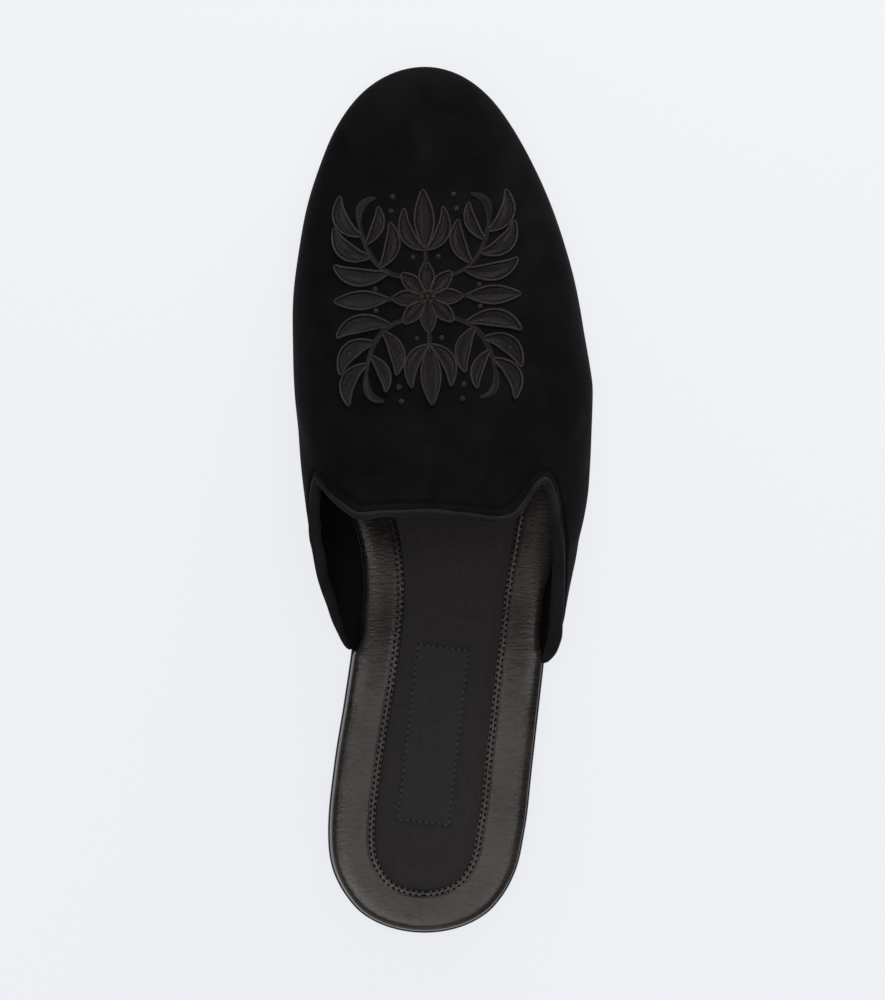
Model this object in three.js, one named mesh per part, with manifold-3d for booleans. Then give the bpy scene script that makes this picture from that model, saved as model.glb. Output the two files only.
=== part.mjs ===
// A backless velvet slipper (mule) for the right foot: a hollow velvet vamp with quarters, lasted round a
// leather-wrapped footbed on a thin leather sole with a low heel.
// Millimetres. +Y runs from heel to toe, +X to the outer (little-toe) side, +Z up, and the floor is z = 0.

import * as THREE from 'three';
import { mergeVertices } from 'three/addons/utils/BufferGeometryUtils.js';
import Module from 'manifold-3d';

const wasm = await Module();
wasm.setup();

// Driving dimensions
const SHOE_LENGTH = 290;
const BALL_WIDTH = 99;
const INSTEP_HEIGHT = 71;
const HEEL_HEIGHT = 12;
const TOE_SPRING = 9;
const TOE_OVERHANG = 4;
const SOLE_THICKNESS = 4;
const FOOTBED_THICKNESS = 4.2;
const WALL = 1.8;
const GAP = 0.3;

// Sizes of the single pieces
const SOLE_LENGTH = SHOE_LENGTH - TOE_OVERHANG;
const SOLE_BEVEL = 0.7;
const HEEL_LENGTH = 72;
const HEEL_TAPER = 1.6;
const HEEL_INSET = 0.6;
const HEEL_BREAST_HOLLOW = 4;
const FEATHER_MARGIN = 0.6;
const BORDER_WIDTH = 13.4;
const PANEL_RECESS = 1;
const PANEL_THICKNESS = 0.6;
const LABEL = { width: 18.2, length: 60, thickness: 0.5, x: 2.8, along: 66.4, turn: -6.6 };
const ROLL = { radius: 1.5, endGirth: 0.97 };
const EMBROIDERY = { thickness: 0.9, x: 0.9, along: 212.5, turn: 2.5 };

// Outline of the sole from above: along is a share of the sole's length from the heel, and inner and outer
// are shares of the ball width from the long axis to the edge.
const SOLE_PLAN = [
  { along: 0, inner: 0, outer: 0 },
  { along: 0.021, inner: 0.206, outer: 0.202 },
  { along: 0.042, inner: 0.264, outer: 0.26 },
  { along: 0.07, inner: 0.308, outer: 0.304 },
  { along: 0.119, inner: 0.328, outer: 0.3375 },
  { along: 0.196, inner: 0.308, outer: 0.364 },
  { along: 0.273, inner: 0.273, outer: 0.389 },
  { along: 0.336, inner: 0.247, outer: 0.41 },
  { along: 0.402, inner: 0.231, outer: 0.433 },
  { along: 0.469, inner: 0.257, outer: 0.466 },
  { along: 0.51, inner: 0.301, outer: 0.489 },
  { along: 0.559, inner: 0.355, outer: 0.509 },
  { along: 0.629, inner: 0.394, outer: 0.522 },
  { along: 0.71, inner: 0.408, outer: 0.494 },
  { along: 0.811, inner: 0.381, outer: 0.426 },
  { along: 0.888, inner: 0.325, outer: 0.338 },
  { along: 0.941, inner: 0.257, outer: 0.252 },
  { along: 0.979, inner: 0.166, outer: 0.158 },
  { along: 1, inner: 0, outer: 0 },
];

// Side view of the sole's underside: lift off the floor, in shares of the heel height behind the ball and of
// the toe spring in front of it.
const SOLE_LIFT = [
  { along: 0, heel: 1, toe: 0 },
  { along: 0.21, heel: 0.97, toe: 0 },
  { along: 0.28, heel: 0.92, toe: 0 },
  { along: 0.33, heel: 0.77, toe: 0 },
  { along: 0.4, heel: 0.46, toe: 0 },
  { along: 0.49, heel: 0.13, toe: 0 },
  { along: 0.56, heel: 0, toe: 0 },
  { along: 0.75, heel: 0, toe: 0 },
  { along: 0.87, heel: 0, toe: 0.24 },
  { along: 1, heel: 0, toe: 1 },
];

// Widest line of the upper over the sole: over is how far it stands out past the sole's edge, as a share of the
// ball width, and bulge is its height over the sole, as a share of the instep height.
const WIDEST_LINE = [
  { along: 0.2, overInner: 0.05, overOuter: 0.044, bulgeInner: 0.28, bulgeOuter: 0.18 },
  { along: 0.325, overInner: 0.056, overOuter: 0.044, bulgeInner: 0.28, bulgeOuter: 0.18 },
  { along: 0.378, overInner: 0.097, overOuter: 0.053, bulgeInner: 0.325, bulgeOuter: 0.21 },
  { along: 0.427, overInner: 0.132, overOuter: 0.058, bulgeInner: 0.352, bulgeOuter: 0.24 },
  { along: 0.469, overInner: 0.134, overOuter: 0.063, bulgeInner: 0.352, bulgeOuter: 0.25 },
  { along: 0.51, overInner: 0.108, overOuter: 0.061, bulgeInner: 0.31, bulgeOuter: 0.24 },
  { along: 0.559, overInner: 0.069, overOuter: 0.052, bulgeInner: 0.246, bulgeOuter: 0.21 },
  { along: 0.629, overInner: 0.046, overOuter: 0.045, bulgeInner: 0.19, bulgeOuter: 0.18 },
  { along: 0.734, overInner: 0.04, overOuter: 0.042, bulgeInner: 0.162, bulgeOuter: 0.162 },
  { along: 1, overInner: 0.04, overOuter: 0.04, bulgeInner: 0.134, bulgeOuter: 0.134 },
];

// Shape of the upper's sections: lean is how steeply the wall leaves the sole, and full is the roundness of the
// section above the widest line on each side.
const WALL_SHAPE = [
  { along: 0.2, lean: 0.45, fullInner: 2.3, fullOuter: 1.57 },
  { along: 0.378, lean: 0.45, fullInner: 2.3, fullOuter: 1.57 },
  { along: 0.469, lean: 0.38, fullInner: 2.3, fullOuter: 1.57 },
  { along: 0.559, lean: 0.3, fullInner: 2.25, fullOuter: 1.7 },
  { along: 0.629, lean: 0.25, fullInner: 2.2, fullOuter: 1.85 },
  { along: 0.734, lean: 0.2, fullInner: 2.15, fullOuter: 2.05 },
  { along: 1, lean: 0.2, fullInner: 2.15, fullOuter: 2.15 },
];

// Ridge of the vamp: along is a share of the shoe's length. Rise is its height over the toe's widest line, as a
// share of the instep height, and side is how far it lies to the outer side, as a share of the ball width.
const RIDGE = [
  { along: 0.3, rise: 0.96, side: 0.052 },
  { along: 0.4, rise: 0.9, side: 0.05 },
  { along: 0.483, rise: 0.787, side: 0.044 },
  { along: 0.569, rise: 0.683, side: 0.037 },
  { along: 0.655, rise: 0.57, side: 0.028 },
  { along: 0.741, rise: 0.472, side: 0.015 },
  { along: 0.828, rise: 0.37, side: 0 },
  { along: 0.914, rise: 0.244, side: -0.004 },
  { along: 1, rise: 0, side: 0 },
];

// Back edge of the upper on each side: girth runs from 0 at the ridge to 1 where the wall meets the sole, and
// along is the share of the sole's length where the velvet ends there. The throat has a lobe and then a notch,
// and the quarter slopes from the notch down to the sole.
const TOPLINE_INNER = [
  { girth: 0, along: 0.493 },
  { girth: 0.15, along: 0.4925 },
  { girth: 0.27, along: 0.4895 },
  { girth: 0.355, along: 0.502 },
  { girth: 0.43, along: 0.517 },
  { girth: 0.51, along: 0.532 },
  { girth: 0.574, along: 0.507 },
  { girth: 0.635, along: 0.479 },
  { girth: 0.675, along: 0.455 },
  { girth: 0.709, along: 0.427 },
  { girth: 0.731, along: 0.402 },
  { girth: 0.784, along: 0.378 },
  { girth: 0.863, along: 0.351 },
  { girth: 0.958, along: 0.334 },
  { girth: 1, along: 0.3305 },
];
const TOPLINE_OUTER = [
  { girth: 0, along: 0.493 },
  { girth: 0.1, along: 0.4905 },
  { girth: 0.18, along: 0.487 },
  { girth: 0.25, along: 0.485 },
  { girth: 0.305, along: 0.4915 },
  { girth: 0.338, along: 0.512 },
  { girth: 0.365, along: 0.527 },
  { girth: 0.398, along: 0.534 },
  { girth: 0.445, along: 0.508 },
  { girth: 0.475, along: 0.483 },
  { girth: 0.53, along: 0.446 },
  { girth: 0.575, along: 0.415 },
  { girth: 0.605, along: 0.389 },
  { girth: 0.637, along: 0.368 },
  { girth: 0.69, along: 0.351 },
  { girth: 0.77, along: 0.339 },
  { girth: 0.88, along: 0.326 },
  { girth: 1, along: 0.3145 },
];
const BULGE_GIRTH = 0.72;

// Strokes of the embroidered medallion, in millimetres from its middle: u across and v towards the toe.
// A stroke is a curved strip from one point to another, pulled towards a bend, wide in the middle and narrowed
// at its ends to a share of that. The spray fills one quarter, and the buds stand on the two axes.
const SPRAY = [
  { fromU: 6, fromV: 7, bendU: 19, bendV: 8, toU: 21.5, toV: 25, wide: 2.4, ends: 0.8 },
  { fromU: 21.2, fromV: 23, bendU: 23.5, bendV: 33.5, toU: 15.5, toV: 34, wide: 3.2, ends: 0.4 },
  { fromU: 12.5, fromV: 9, bendU: 24, bendV: 5, toU: 30.5, toV: 12, wide: 5.6, ends: 0.15 },
  { fromU: 18, fromV: 14.5, bendU: 28.5, bendV: 14, toU: 30, toV: 24.5, wide: 5.4, ends: 0.15 },
  { fromU: 20.8, fromV: 21.5, bendU: 30.5, bendV: 25, toU: 27.5, toV: 35, wide: 4.8, ends: 0.15 },
  { fromU: 15.4, fromV: 10.8, bendU: 8.5, bendV: 17, toU: 11.5, toV: 25.5, wide: 4.8, ends: 0.15 },
  { fromU: 20, fromV: 18.5, bendU: 13.5, bendV: 24, toU: 15.2, toV: 31, wide: 3.8, ends: 0.15 },
];
const UPRIGHT_BUD = [
  { fromU: 0, fromV: 9, bendU: 0, bendV: 14, toU: 0, toV: 19, wide: 2.2, ends: 1 },
  { fromU: 0, fromV: 16, bendU: 0, bendV: 26, toU: 0, toV: 36, wide: 6.4, ends: 0.12 },
  { fromU: 0, fromV: 16, bendU: 8.5, bendV: 19.5, toU: 6.4, toV: 30, wide: 4.4, ends: 0.15 },
  { fromU: 0, fromV: 16, bendU: -8.5, bendV: 19.5, toU: -6.4, toV: 30, wide: 4.4, ends: 0.15 },
];
const LEVEL_BUD = [
  { fromU: 9, fromV: 0, bendU: 12, bendV: 0, toU: 15, toV: 0, wide: 2.2, ends: 1 },
  { fromU: 13, fromV: 0, bendU: 22, bendV: 0, toU: 31, toV: 0, wide: 6, ends: 0.12 },
];
const ROSETTE = { petals: 8, hollow: 7, tip: 11.6 };

// Mesh density
const SOLE_STATIONS = 36;
const UPPER_GIRTH_STEPS = 48;
const UPPER_LENGTH_STEPS = 18;
const TOE_CROWDING = 1.7;
const ROLL_STEPS = 52;
const HOLLOW_SIDES = 160;
const ROLL_SIDES = 8;
const LABEL_STEPS = 8;
const STROKE_STEPS = 5;
const PETAL_STEPS = 6;

// A smooth curve through one column of a table that never overshoots its rows (monotone cubic). Each row's slope
// is that of the parabola through it and its neighbours, held to three times the flatter side. With squared, the
// curve runs through the squares and its root is taken, which rounds an end where the column falls to 0.
const STEEPEST = 3;
function smoothColumn(rows, input, column, scale = 1, squared = false) {
  const xs = rows.map((row) => row[input]);
  const ys = rows.map((row) => (squared ? (row[column] * scale) ** 2 : row[column] * scale));
  const last = xs.length - 1;
  const step = xs.slice(1).map((x, k) => x - xs[k]);
  const rise = step.map((length, k) => (ys[k + 1] - ys[k]) / length);
  const endSlope = (k, next) => rise[k] + ((rise[k] - rise[next]) * step[k]) / (step[k] + step[next]);
  const slopes = ys.map((_, k) => {
    const before = rise[Math.max(0, k - 1)];
    const after = rise[Math.min(last - 1, k)];
    let slope;
    if (k === 0) slope = endSlope(0, 1);
    else if (k === last) slope = endSlope(last - 1, last - 2);
    else slope = (step[k] * before + step[k - 1] * after) / (step[k - 1] + step[k]);
    if (before * after <= 0 || slope * before <= 0) return 0;
    return Math.sign(slope) * Math.min(Math.abs(slope), STEEPEST * Math.min(Math.abs(before), Math.abs(after)));
  });
  return (value) => {
    const x = THREE.MathUtils.clamp(value, xs[0], xs[last]);
    const k = Math.min(last - 1, Math.max(0, xs.findIndex((end) => end >= x) - 1));
    const span = xs[k + 1] - xs[k];
    const t = (x - xs[k]) / span;
    const y =
      ys[k] * (1 + 2 * t) * (1 - t) ** 2 +
      ys[k + 1] * t * t * (3 - 2 * t) +
      span * t * (1 - t) * (slopes[k] * (1 - t) - slopes[k + 1] * t);
    return squared ? Math.sqrt(Math.max(0, y)) : y;
  };
}

const soleHalfWidth = {
  inner: smoothColumn(SOLE_PLAN, 'along', 'inner', BALL_WIDTH, true),
  outer: smoothColumn(SOLE_PLAN, 'along', 'outer', BALL_WIDTH, true),
};
const heelLift = smoothColumn(SOLE_LIFT, 'along', 'heel', HEEL_HEIGHT);
const toeLift = smoothColumn(SOLE_LIFT, 'along', 'toe', TOE_SPRING);
const soleBottom = (y) => heelLift(y / SOLE_LENGTH) + toeLift(y / SOLE_LENGTH);
const soleTop = (y) => soleBottom(y) + SOLE_THICKNESS;

// The sole's edge from above at a share of its length, on one side, moved outward square to the edge by offset
const SIDES = { inner: -1, outer: 1 };
const TANGENT_STEP = 0.0005;
function soleEdge(share, side, offset = 0) {
  const sign = SIDES[side];
  const before = Math.max(0, share - TANGENT_STEP);
  const after = Math.min(1, share + TANGENT_STEP);
  const width = soleHalfWidth[side];
  const tangent = new THREE.Vector2(width(after) - width(before), (after - before) * SOLE_LENGTH).normalize();
  const normal = new THREE.Vector2(sign * tangent.y, -tangent.x);
  if (share <= 0) normal.set(0, -1);
  if (share >= 1) normal.set(0, 1);
  return new THREE.Vector2(sign * width(share), share * SOLE_LENGTH).addScaledVector(normal, offset);
}

// Stations from toe to heel, crowded at both round ends.
function soleStations(count) {
  return Array.from({ length: count + 1 }, (_, k) => (1 + Math.cos((Math.PI * k) / count)) / 2);
}

// A closed mesh from loose triangles, each a list of three points.
function meshOf(triangles) {
  const flat = triangles.flatMap((corners) => corners.flatMap((p) => [p.x, p.y, p.z]));
  const loose = new THREE.BufferGeometry();
  loose.setAttribute('position', new THREE.Float32BufferAttribute(flat, 3));
  const merged = mergeVertices(loose, 1e-4);
  const index = merged.index.array;
  const kept = [];
  for (let k = 0; k < index.length; k += 3) {
    const [a, b, c] = index.slice(k, k + 3);
    if (a !== b && b !== c && c !== a) kept.push(a, b, c);
  }
  merged.setIndex(kept);
  merged.computeVertexNormals();
  return merged;
}

const quad = (a, b, c, d) => [[a, b, c], [a, c, d]];

// A flat-lying piece whose rim follows the sole's outline. Each ring gives its offset from the sole's edge and
// its height at a distance along the shoe; the first ring is closed below and the last above.
function outlineSolid(rings, shares = soleStations(SOLE_STATIONS)) {
  const loops = rings.map((ring) => {
    const point = (share, side) => {
      const p = soleEdge(share, side, ring.offset(share));
      return new THREE.Vector3(p.x, p.y, ring.height(p.y));
    };
    return { inner: shares.map((s) => point(s, 'inner')), outer: shares.map((s) => point(s, 'outer')) };
  });
  const triangles = [];
  const steps = shares.slice(1).map((_, k) => k);
  loops.slice(1).forEach((upper, r) => {
    const lower = loops[r];
    for (const k of steps) {
      triangles.push(...quad(lower.outer[k + 1], lower.outer[k], upper.outer[k], upper.outer[k + 1]));
      triangles.push(...quad(lower.inner[k], lower.inner[k + 1], upper.inner[k + 1], upper.inner[k]));
    }
  });
  const floor = loops[0];
  const roof = loops[loops.length - 1];
  for (const k of steps) {
    triangles.push(...quad(floor.inner[k], floor.outer[k], floor.outer[k + 1], floor.inner[k + 1]));
    triangles.push(...quad(roof.outer[k], roof.inner[k], roof.inner[k + 1], roof.outer[k + 1]));
  }
  return triangles;
}

// A closed solid between two grids of points of one size: front faces out and back faces in. The start or the
// end of the rows is left open where the grid meets itself there.
function gridSolid(front, back, open = []) {
  const rows = front.length - 1;
  const columns = front[0].length - 1;
  const triangles = [];
  for (let i = 0; i < rows; i++) {
    for (let j = 0; j < columns; j++) {
      triangles.push(...quad(front[i][j], front[i + 1][j], front[i + 1][j + 1], front[i][j + 1]));
      triangles.push(...quad(back[i][j], back[i][j + 1], back[i + 1][j + 1], back[i + 1][j]));
    }
  }
  for (let j = 0; j < columns; j++) {
    triangles.push(...quad(front[0][j], front[0][j + 1], back[0][j + 1], back[0][j]));
    triangles.push(...quad(front[rows][j + 1], front[rows][j], back[rows][j], back[rows][j + 1]));
  }
  for (let i = 0; i < rows; i++) {
    const start = quad(front[i + 1][0], front[i][0], back[i][0], back[i + 1][0]);
    const end = quad(front[i][columns], front[i + 1][columns], back[i + 1][columns], back[i][columns]);
    if (!open.includes('start')) triangles.push(...start);
    if (!open.includes('end')) triangles.push(...end);
  }
  return triangles;
}

// Solids for joining and cutting
function solidOf(geometry) {
  const bare = geometry.index ? geometry.toNonIndexed() : geometry.clone();
  bare.deleteAttribute('normal');
  bare.deleteAttribute('uv');
  const merged = mergeVertices(bare, 1e-4);
  const vertProperties = new Float32Array(merged.attributes.position.array);
  const triVerts = new Uint32Array(merged.index.array);
  return new wasm.Manifold(new wasm.Mesh({ numProp: 3, vertProperties, triVerts }));
}

function geometryOf(solid) {
  const mesh = solid.getMesh();
  const geometry = new THREE.BufferGeometry();
  geometry.setAttribute('position', new THREE.Float32BufferAttribute(mesh.vertProperties, 3));
  geometry.setIndex(Array.from(mesh.triVerts));
  geometry.computeVertexNormals();
  return geometry;
}

// Outsole: a thin leather sole with a bevelled lower edge
function outsole() {
  const flat = () => 0;
  return meshOf(
    outlineSolid([
      { offset: () => -SOLE_BEVEL, height: soleBottom },
      { offset: flat, height: (y) => soleBottom(y) + SOLE_BEVEL },
      { offset: flat, height: (y) => soleTop(y) - SOLE_BEVEL / 2 },
      { offset: () => -SOLE_BEVEL / 2, height: soleTop },
    ]),
  );
}

// Heel: a low block under the back of the sole, tapered to the floor, with a hollow breast
function heel() {
  const share = HEEL_LENGTH / SOLE_LENGTH;
  const stations = soleStations(SOLE_STATIONS).map((s) => s * 2 * share).filter((s) => s <= share);
  const block = outlineSolid(
    [
      { offset: () => -HEEL_INSET - HEEL_TAPER, height: () => 0 },
      { offset: () => -HEEL_INSET, height: (y) => soleBottom(y) - GAP },
    ],
    [share, ...stations.filter((s) => s < share)],
  );
  const [right, left] = ['outer', 'inner'].map((side) =>
    [-HEEL_INSET - HEEL_TAPER, -HEEL_INSET].map((offset, level) => {
      const p = soleEdge(share, side, offset);
      return new THREE.Vector3(p.x, p.y, level ? soleBottom(p.y) - GAP : 0);
    }),
  );
  const breast = quad(right[0], left[0], left[1], right[1]);
  const halfChord = soleHalfWidth.outer(share);
  const hollowRadius = (halfChord ** 2 + HEEL_BREAST_HOLLOW ** 2) / (2 * HEEL_BREAST_HOLLOW);
  const cutter = new THREE.CylinderGeometry(hollowRadius, hollowRadius, HEEL_HEIGHT * 3, HOLLOW_SIDES);
  cutter.rotateX(Math.PI / 2);
  const breastX = (right[1].x + left[1].x) / 2;
  cutter.translate(breastX, HEEL_LENGTH + hollowRadius - HEEL_BREAST_HOLLOW, HEEL_HEIGHT / 2);
  return geometryOf(solidOf(meshOf([...block, ...breast])).subtract(solidOf(cutter)));
}

// Footbed: a leather-wrapped insole with a rolled edge. It stands a little inside the sole's edge at the heel
// and leaves room for the upper's wall from the quarters forward.
const WALL_INSET = FEATHER_MARGIN + WALL + GAP;
const footbedInset = smoothColumn(
  [
    { along: 0, inset: 0.7 },
    { along: 0.27, inset: 0.8 },
    { along: 0.306, inset: WALL_INSET },
    { along: 1, inset: WALL_INSET },
  ],
  'along',
  'inset',
);
const footbedTop = (y) => soleTop(y) + GAP + FOOTBED_THICKNESS;

// The leather border is narrower round the back of the heel.
const borderNarrowing = smoothColumn(
  [
    { along: 0, narrower: 1.6 },
    { along: 0.05, narrower: 0.6 },
    { along: 0.12, narrower: 0 },
    { along: 1, narrower: 0 },
  ],
  'along',
  'narrower',
);

// Section of the footbed's rim, from underneath, over the rolled edge and into the recess for the cloth panel:
// in is the distance inside the rim and down the distance below the top. Rows with border 1 are the border's
// inner edge, which keeps its distance from the sole's edge.
const FOOTBED_RIM = [
  { in: 0.8, down: FOOTBED_THICKNESS, border: 0 },
  { in: 0, down: FOOTBED_THICKNESS - 0.9, border: 0 },
  { in: 0, down: 1.9, border: 0 },
  { in: 0.7, down: 0.75, border: 0 },
  { in: 2, down: 0.2, border: 0 },
  { in: 4, down: 0, border: 0 },
  { in: BORDER_WIDTH, down: 0, border: 1 },
  { in: BORDER_WIDTH, down: PANEL_RECESS, border: 1 },
];

function footbed() {
  const rings = FOOTBED_RIM.map((row) => ({
    offset: (share) => (row.border ? borderNarrowing(share) - WALL_INSET : -footbedInset(share)) - row.in,
    height: (y) => footbedTop(y) - row.down,
  }));
  return meshOf(outlineSolid(rings));
}

// Sock panel: the cloth panel that lies in the footbed's recess, inside the leather border
const panelTop = (y) => footbedTop(y) - PANEL_RECESS + GAP + PANEL_THICKNESS;
function sockPanel() {
  const offset = (share) => borderNarrowing(share) - WALL_INSET - BORDER_WIDTH - GAP;
  return meshOf(
    outlineSolid([
      { offset, height: (y) => panelTop(y) - PANEL_THICKNESS },
      { offset, height: panelTop },
    ]),
  );
}

// Sock label: a sewn cloth label on the panel, bent to the heel seat
function sockLabel() {
  const turn = THREE.MathUtils.degToRad(LABEL.turn);
  const grid = (raise) =>
    [-0.5, 0.5].map((across) =>
      Array.from({ length: LABEL_STEPS + 1 }, (_, k) => {
        const local = new THREE.Vector2(across * LABEL.width, (k / LABEL_STEPS - 0.5) * LABEL.length);
        local.rotateAround(new THREE.Vector2(), turn);
        const y = LABEL.along + local.y;
        return new THREE.Vector3(LABEL.x + local.x, y, panelTop(y) + GAP + raise);
      }),
    );
  return meshOf(gridSolid(grid(LABEL.thickness), grid(0)));
}

// Columns of the upper's sections, ready to read
const section = Object.fromEntries(
  [
    [WIDEST_LINE, 'overInner', BALL_WIDTH],
    [WIDEST_LINE, 'overOuter', BALL_WIDTH],
    [WIDEST_LINE, 'bulgeInner', INSTEP_HEIGHT],
    [WIDEST_LINE, 'bulgeOuter', INSTEP_HEIGHT],
    [WALL_SHAPE, 'lean', 1],
    [WALL_SHAPE, 'fullInner', 1],
    [WALL_SHAPE, 'fullOuter', 1],
  ].map(([table, column, scale]) => [column, smoothColumn(table, 'along', column, scale)]),
);
const ridgeRise = smoothColumn(RIDGE, 'along', 'rise', INSTEP_HEIGHT, true);
const ridgeSide = smoothColumn(RIDGE, 'along', 'side', BALL_WIDTH);
const toplineShare = {
  inner: smoothColumn(TOPLINE_INNER, 'girth', 'along'),
  outer: smoothColumn(TOPLINE_OUTER, 'girth', 'along'),
};
const TOE_BULGE = WIDEST_LINE[WIDEST_LINE.length - 1].bulgeInner * INSTEP_HEIGHT;

// The widest line of the upper at a station of the sole
function widest(share, side) {
  const name = side === 'inner' ? 'Inner' : 'Outer';
  const p = soleEdge(share, side, section[`over${name}`](share));
  return new THREE.Vector3(p.x, p.y, soleTop(Math.min(p.y, SOLE_LENGTH)) + section[`bulge${name}`](share));
}

// A point of the upper's outer surface. Girth is -1 where the inner wall meets the sole, 0 at the ridge and 1
// where the outer wall meets the sole. Below the widest line the wall is a parabola that leaves the sole at
// the section's lean and ends upright; above it the section is a superellipse up to the ridge.
function upperSurface(girth, share) {
  const side = girth < 0 ? 'inner' : 'outer';
  const bulge = widest(share, side);
  const height = Math.abs(girth);
  if (height > BULGE_GIRTH) {
    const foot = soleEdge(share, side, -FEATHER_MARGIN);
    const footZ = soleTop(foot.y) + GAP;
    const t = (1 - height) / (1 - BULGE_GIRTH);
    const out = 2 * t - t * t;
    const up = 2 * t * (1 - t) * section.lean(share) + t * t;
    return new THREE.Vector3(
      THREE.MathUtils.lerp(foot.x, bulge.x, out),
      THREE.MathUtils.lerp(foot.y, bulge.y, out),
      THREE.MathUtils.lerp(footZ, bulge.z, up),
    );
  }
  const other = widest(share, side === 'inner' ? 'outer' : 'inner');
  const ridgeY = (bulge.y + other.y) / 2;
  const ridge = new THREE.Vector3(
    ridgeSide(ridgeY / SHOE_LENGTH),
    ridgeY,
    soleTop(Math.min(ridgeY, SOLE_LENGTH)) + TOE_BULGE + ridgeRise(ridgeY / SHOE_LENGTH),
  );
  const angle = (Math.PI / 2) * (1 - height / BULGE_GIRTH);
  const power = 2 / section[side === 'inner' ? 'fullInner' : 'fullOuter'](share);
  const out = Math.max(0, Math.cos(angle)) ** power;
  const up = Math.sin(angle) ** power;
  return new THREE.Vector3(
    THREE.MathUtils.lerp(ridge.x, bulge.x, out),
    THREE.MathUtils.lerp(ridge.y, bulge.y, out),
    THREE.MathUtils.lerp(bulge.z, ridge.z, up),
  );
}

// Outward direction of the upper's surface. At the toe's tip both sides meet, so it lies in the plane x = 0.
const GIRTH_STEP = 0.004;
const SHARE_STEP = 0.001;
function upperNormal(girth, share) {
  const clampGirth = (g) => THREE.MathUtils.clamp(g, -1, 1);
  const acrossFrom = upperSurface(clampGirth(girth - GIRTH_STEP), share);
  const across = upperSurface(clampGirth(girth + GIRTH_STEP), share).sub(acrossFrom);
  if (share >= 1) {
    if (Math.abs(girth) <= BULGE_GIRTH) return new THREE.Vector3(0, 1, 0);
    const turned = new THREE.Vector3(0, -across.z, across.y).multiplyScalar(Math.sign(girth));
    return turned.normalize();
  }
  const after = Math.min(1, share + SHARE_STEP);
  const lengthwise = upperSurface(girth, after).sub(upperSurface(girth, share - SHARE_STEP));
  return across.cross(lengthwise).normalize();
}

const upperOffset = (girth, share, distance) =>
  upperSurface(girth, share).addScaledVector(upperNormal(girth, share), distance);

// The station at which a line of equal girth reaches a distance along the shoe
const SEARCH_STEPS = 12;
function stationAt(girth, y) {
  let share = y / SOLE_LENGTH;
  for (let k = 0; k < SEARCH_STEPS; k++) share += (y - upperSurface(girth, share).y) / SHOE_LENGTH;
  return share;
}

const toplineAt = (girth) => {
  const along = toplineShare[girth < 0 ? 'inner' : 'outer'](Math.abs(girth));
  return stationAt(girth, along * SOLE_LENGTH);
};

// Upper: the velvet wall from the toe to the topline, open underneath and at the back, with the topline rolled
function upper() {
  const girths = Array.from({ length: UPPER_GIRTH_STEPS + 1 }, (_, i) => 1 - (2 * i) / UPPER_GIRTH_STEPS);
  const grid = (distance) =>
    girths.map((girth) => {
      const back = 1 - toplineAt(girth);
      return Array.from({ length: UPPER_LENGTH_STEPS + 1 }, (_, j) =>
        upperOffset(girth, 1 - back * (j / UPPER_LENGTH_STEPS) ** TOE_CROWDING, distance),
      );
    });
  const wall = meshOf(gridSolid(grid(0), grid(-WALL), ['start']));
  const rim = girths
    .filter((girth) => Math.abs(girth) < ROLL.endGirth)
    .map((girth) => upperOffset(girth, toplineAt(girth), -WALL / 2));
  const path = new THREE.CatmullRomCurve3(rim);
  const circle = new THREE.Shape().absarc(0, 0, ROLL.radius, 0, 2 * Math.PI);
  const sweep = { steps: ROLL_STEPS, curveSegments: ROLL_SIDES / 2, extrudePath: path, bevelEnabled: false };
  return geometryOf(solidOf(wall).add(solidOf(new THREE.ExtrudeGeometry(circle, sweep))));
}

// The girth and station of the vamp straight below a place in plan
const HALVINGS = 24;
function vampUnder(x, y) {
  let share = y / SOLE_LENGTH;
  let girth = 0;
  for (let round = 0; round < SEARCH_STEPS / 2; round++) {
    let low = -BULGE_GIRTH;
    let high = BULGE_GIRTH;
    for (let k = 0; k < HALVINGS; k++) {
      girth = (low + high) / 2;
      if (upperSurface(girth, share).x < x) low = girth;
      else high = girth;
    }
    share += (y - upperSurface(girth, share).y) / SHOE_LENGTH;
  }
  return { girth, share };
}

// The vamp's girth and station under a point of the medallion
function vampUnderMotif(flat) {
  const turn = THREE.MathUtils.degToRad(EMBROIDERY.turn);
  const middle = new THREE.Vector2(EMBROIDERY.x, EMBROIDERY.along);
  const plan = flat.clone().rotateAround(new THREE.Vector2(), turn).add(middle);
  return vampUnder(plan.x, plan.y);
}

// A layer of thread over rows of places on the vamp
function threadSolid(rows, open) {
  const lifted = (height) => rows.map((row) => row.map((at) => upperOffset(at.girth, at.share, height)));
  return solidOf(meshOf(gridSolid(lifted(GAP + EMBROIDERY.thickness), lifted(GAP), open)));
}

// One stroke of the embroidery
function strokeSolid(stroke) {
  const corner = (name) => new THREE.Vector2(stroke[`${name}U`], stroke[`${name}V`]);
  const spine = new THREE.QuadraticBezierCurve(corner('from'), corner('bend'), corner('to'));
  const edges = [1, -1].map((side) =>
    Array.from({ length: STROKE_STEPS + 1 }, (_, k) => {
      const t = k / STROKE_STEPS;
      const along = spine.getTangent(t);
      const half = (stroke.wide / 2) * (stroke.ends + (1 - stroke.ends) * Math.sin(Math.PI * t));
      const across = new THREE.Vector2(-along.y, along.x);
      return vampUnderMotif(spine.getPoint(t).addScaledVector(across, side * half));
    }),
  );
  return threadSolid(edges);
}

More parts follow.
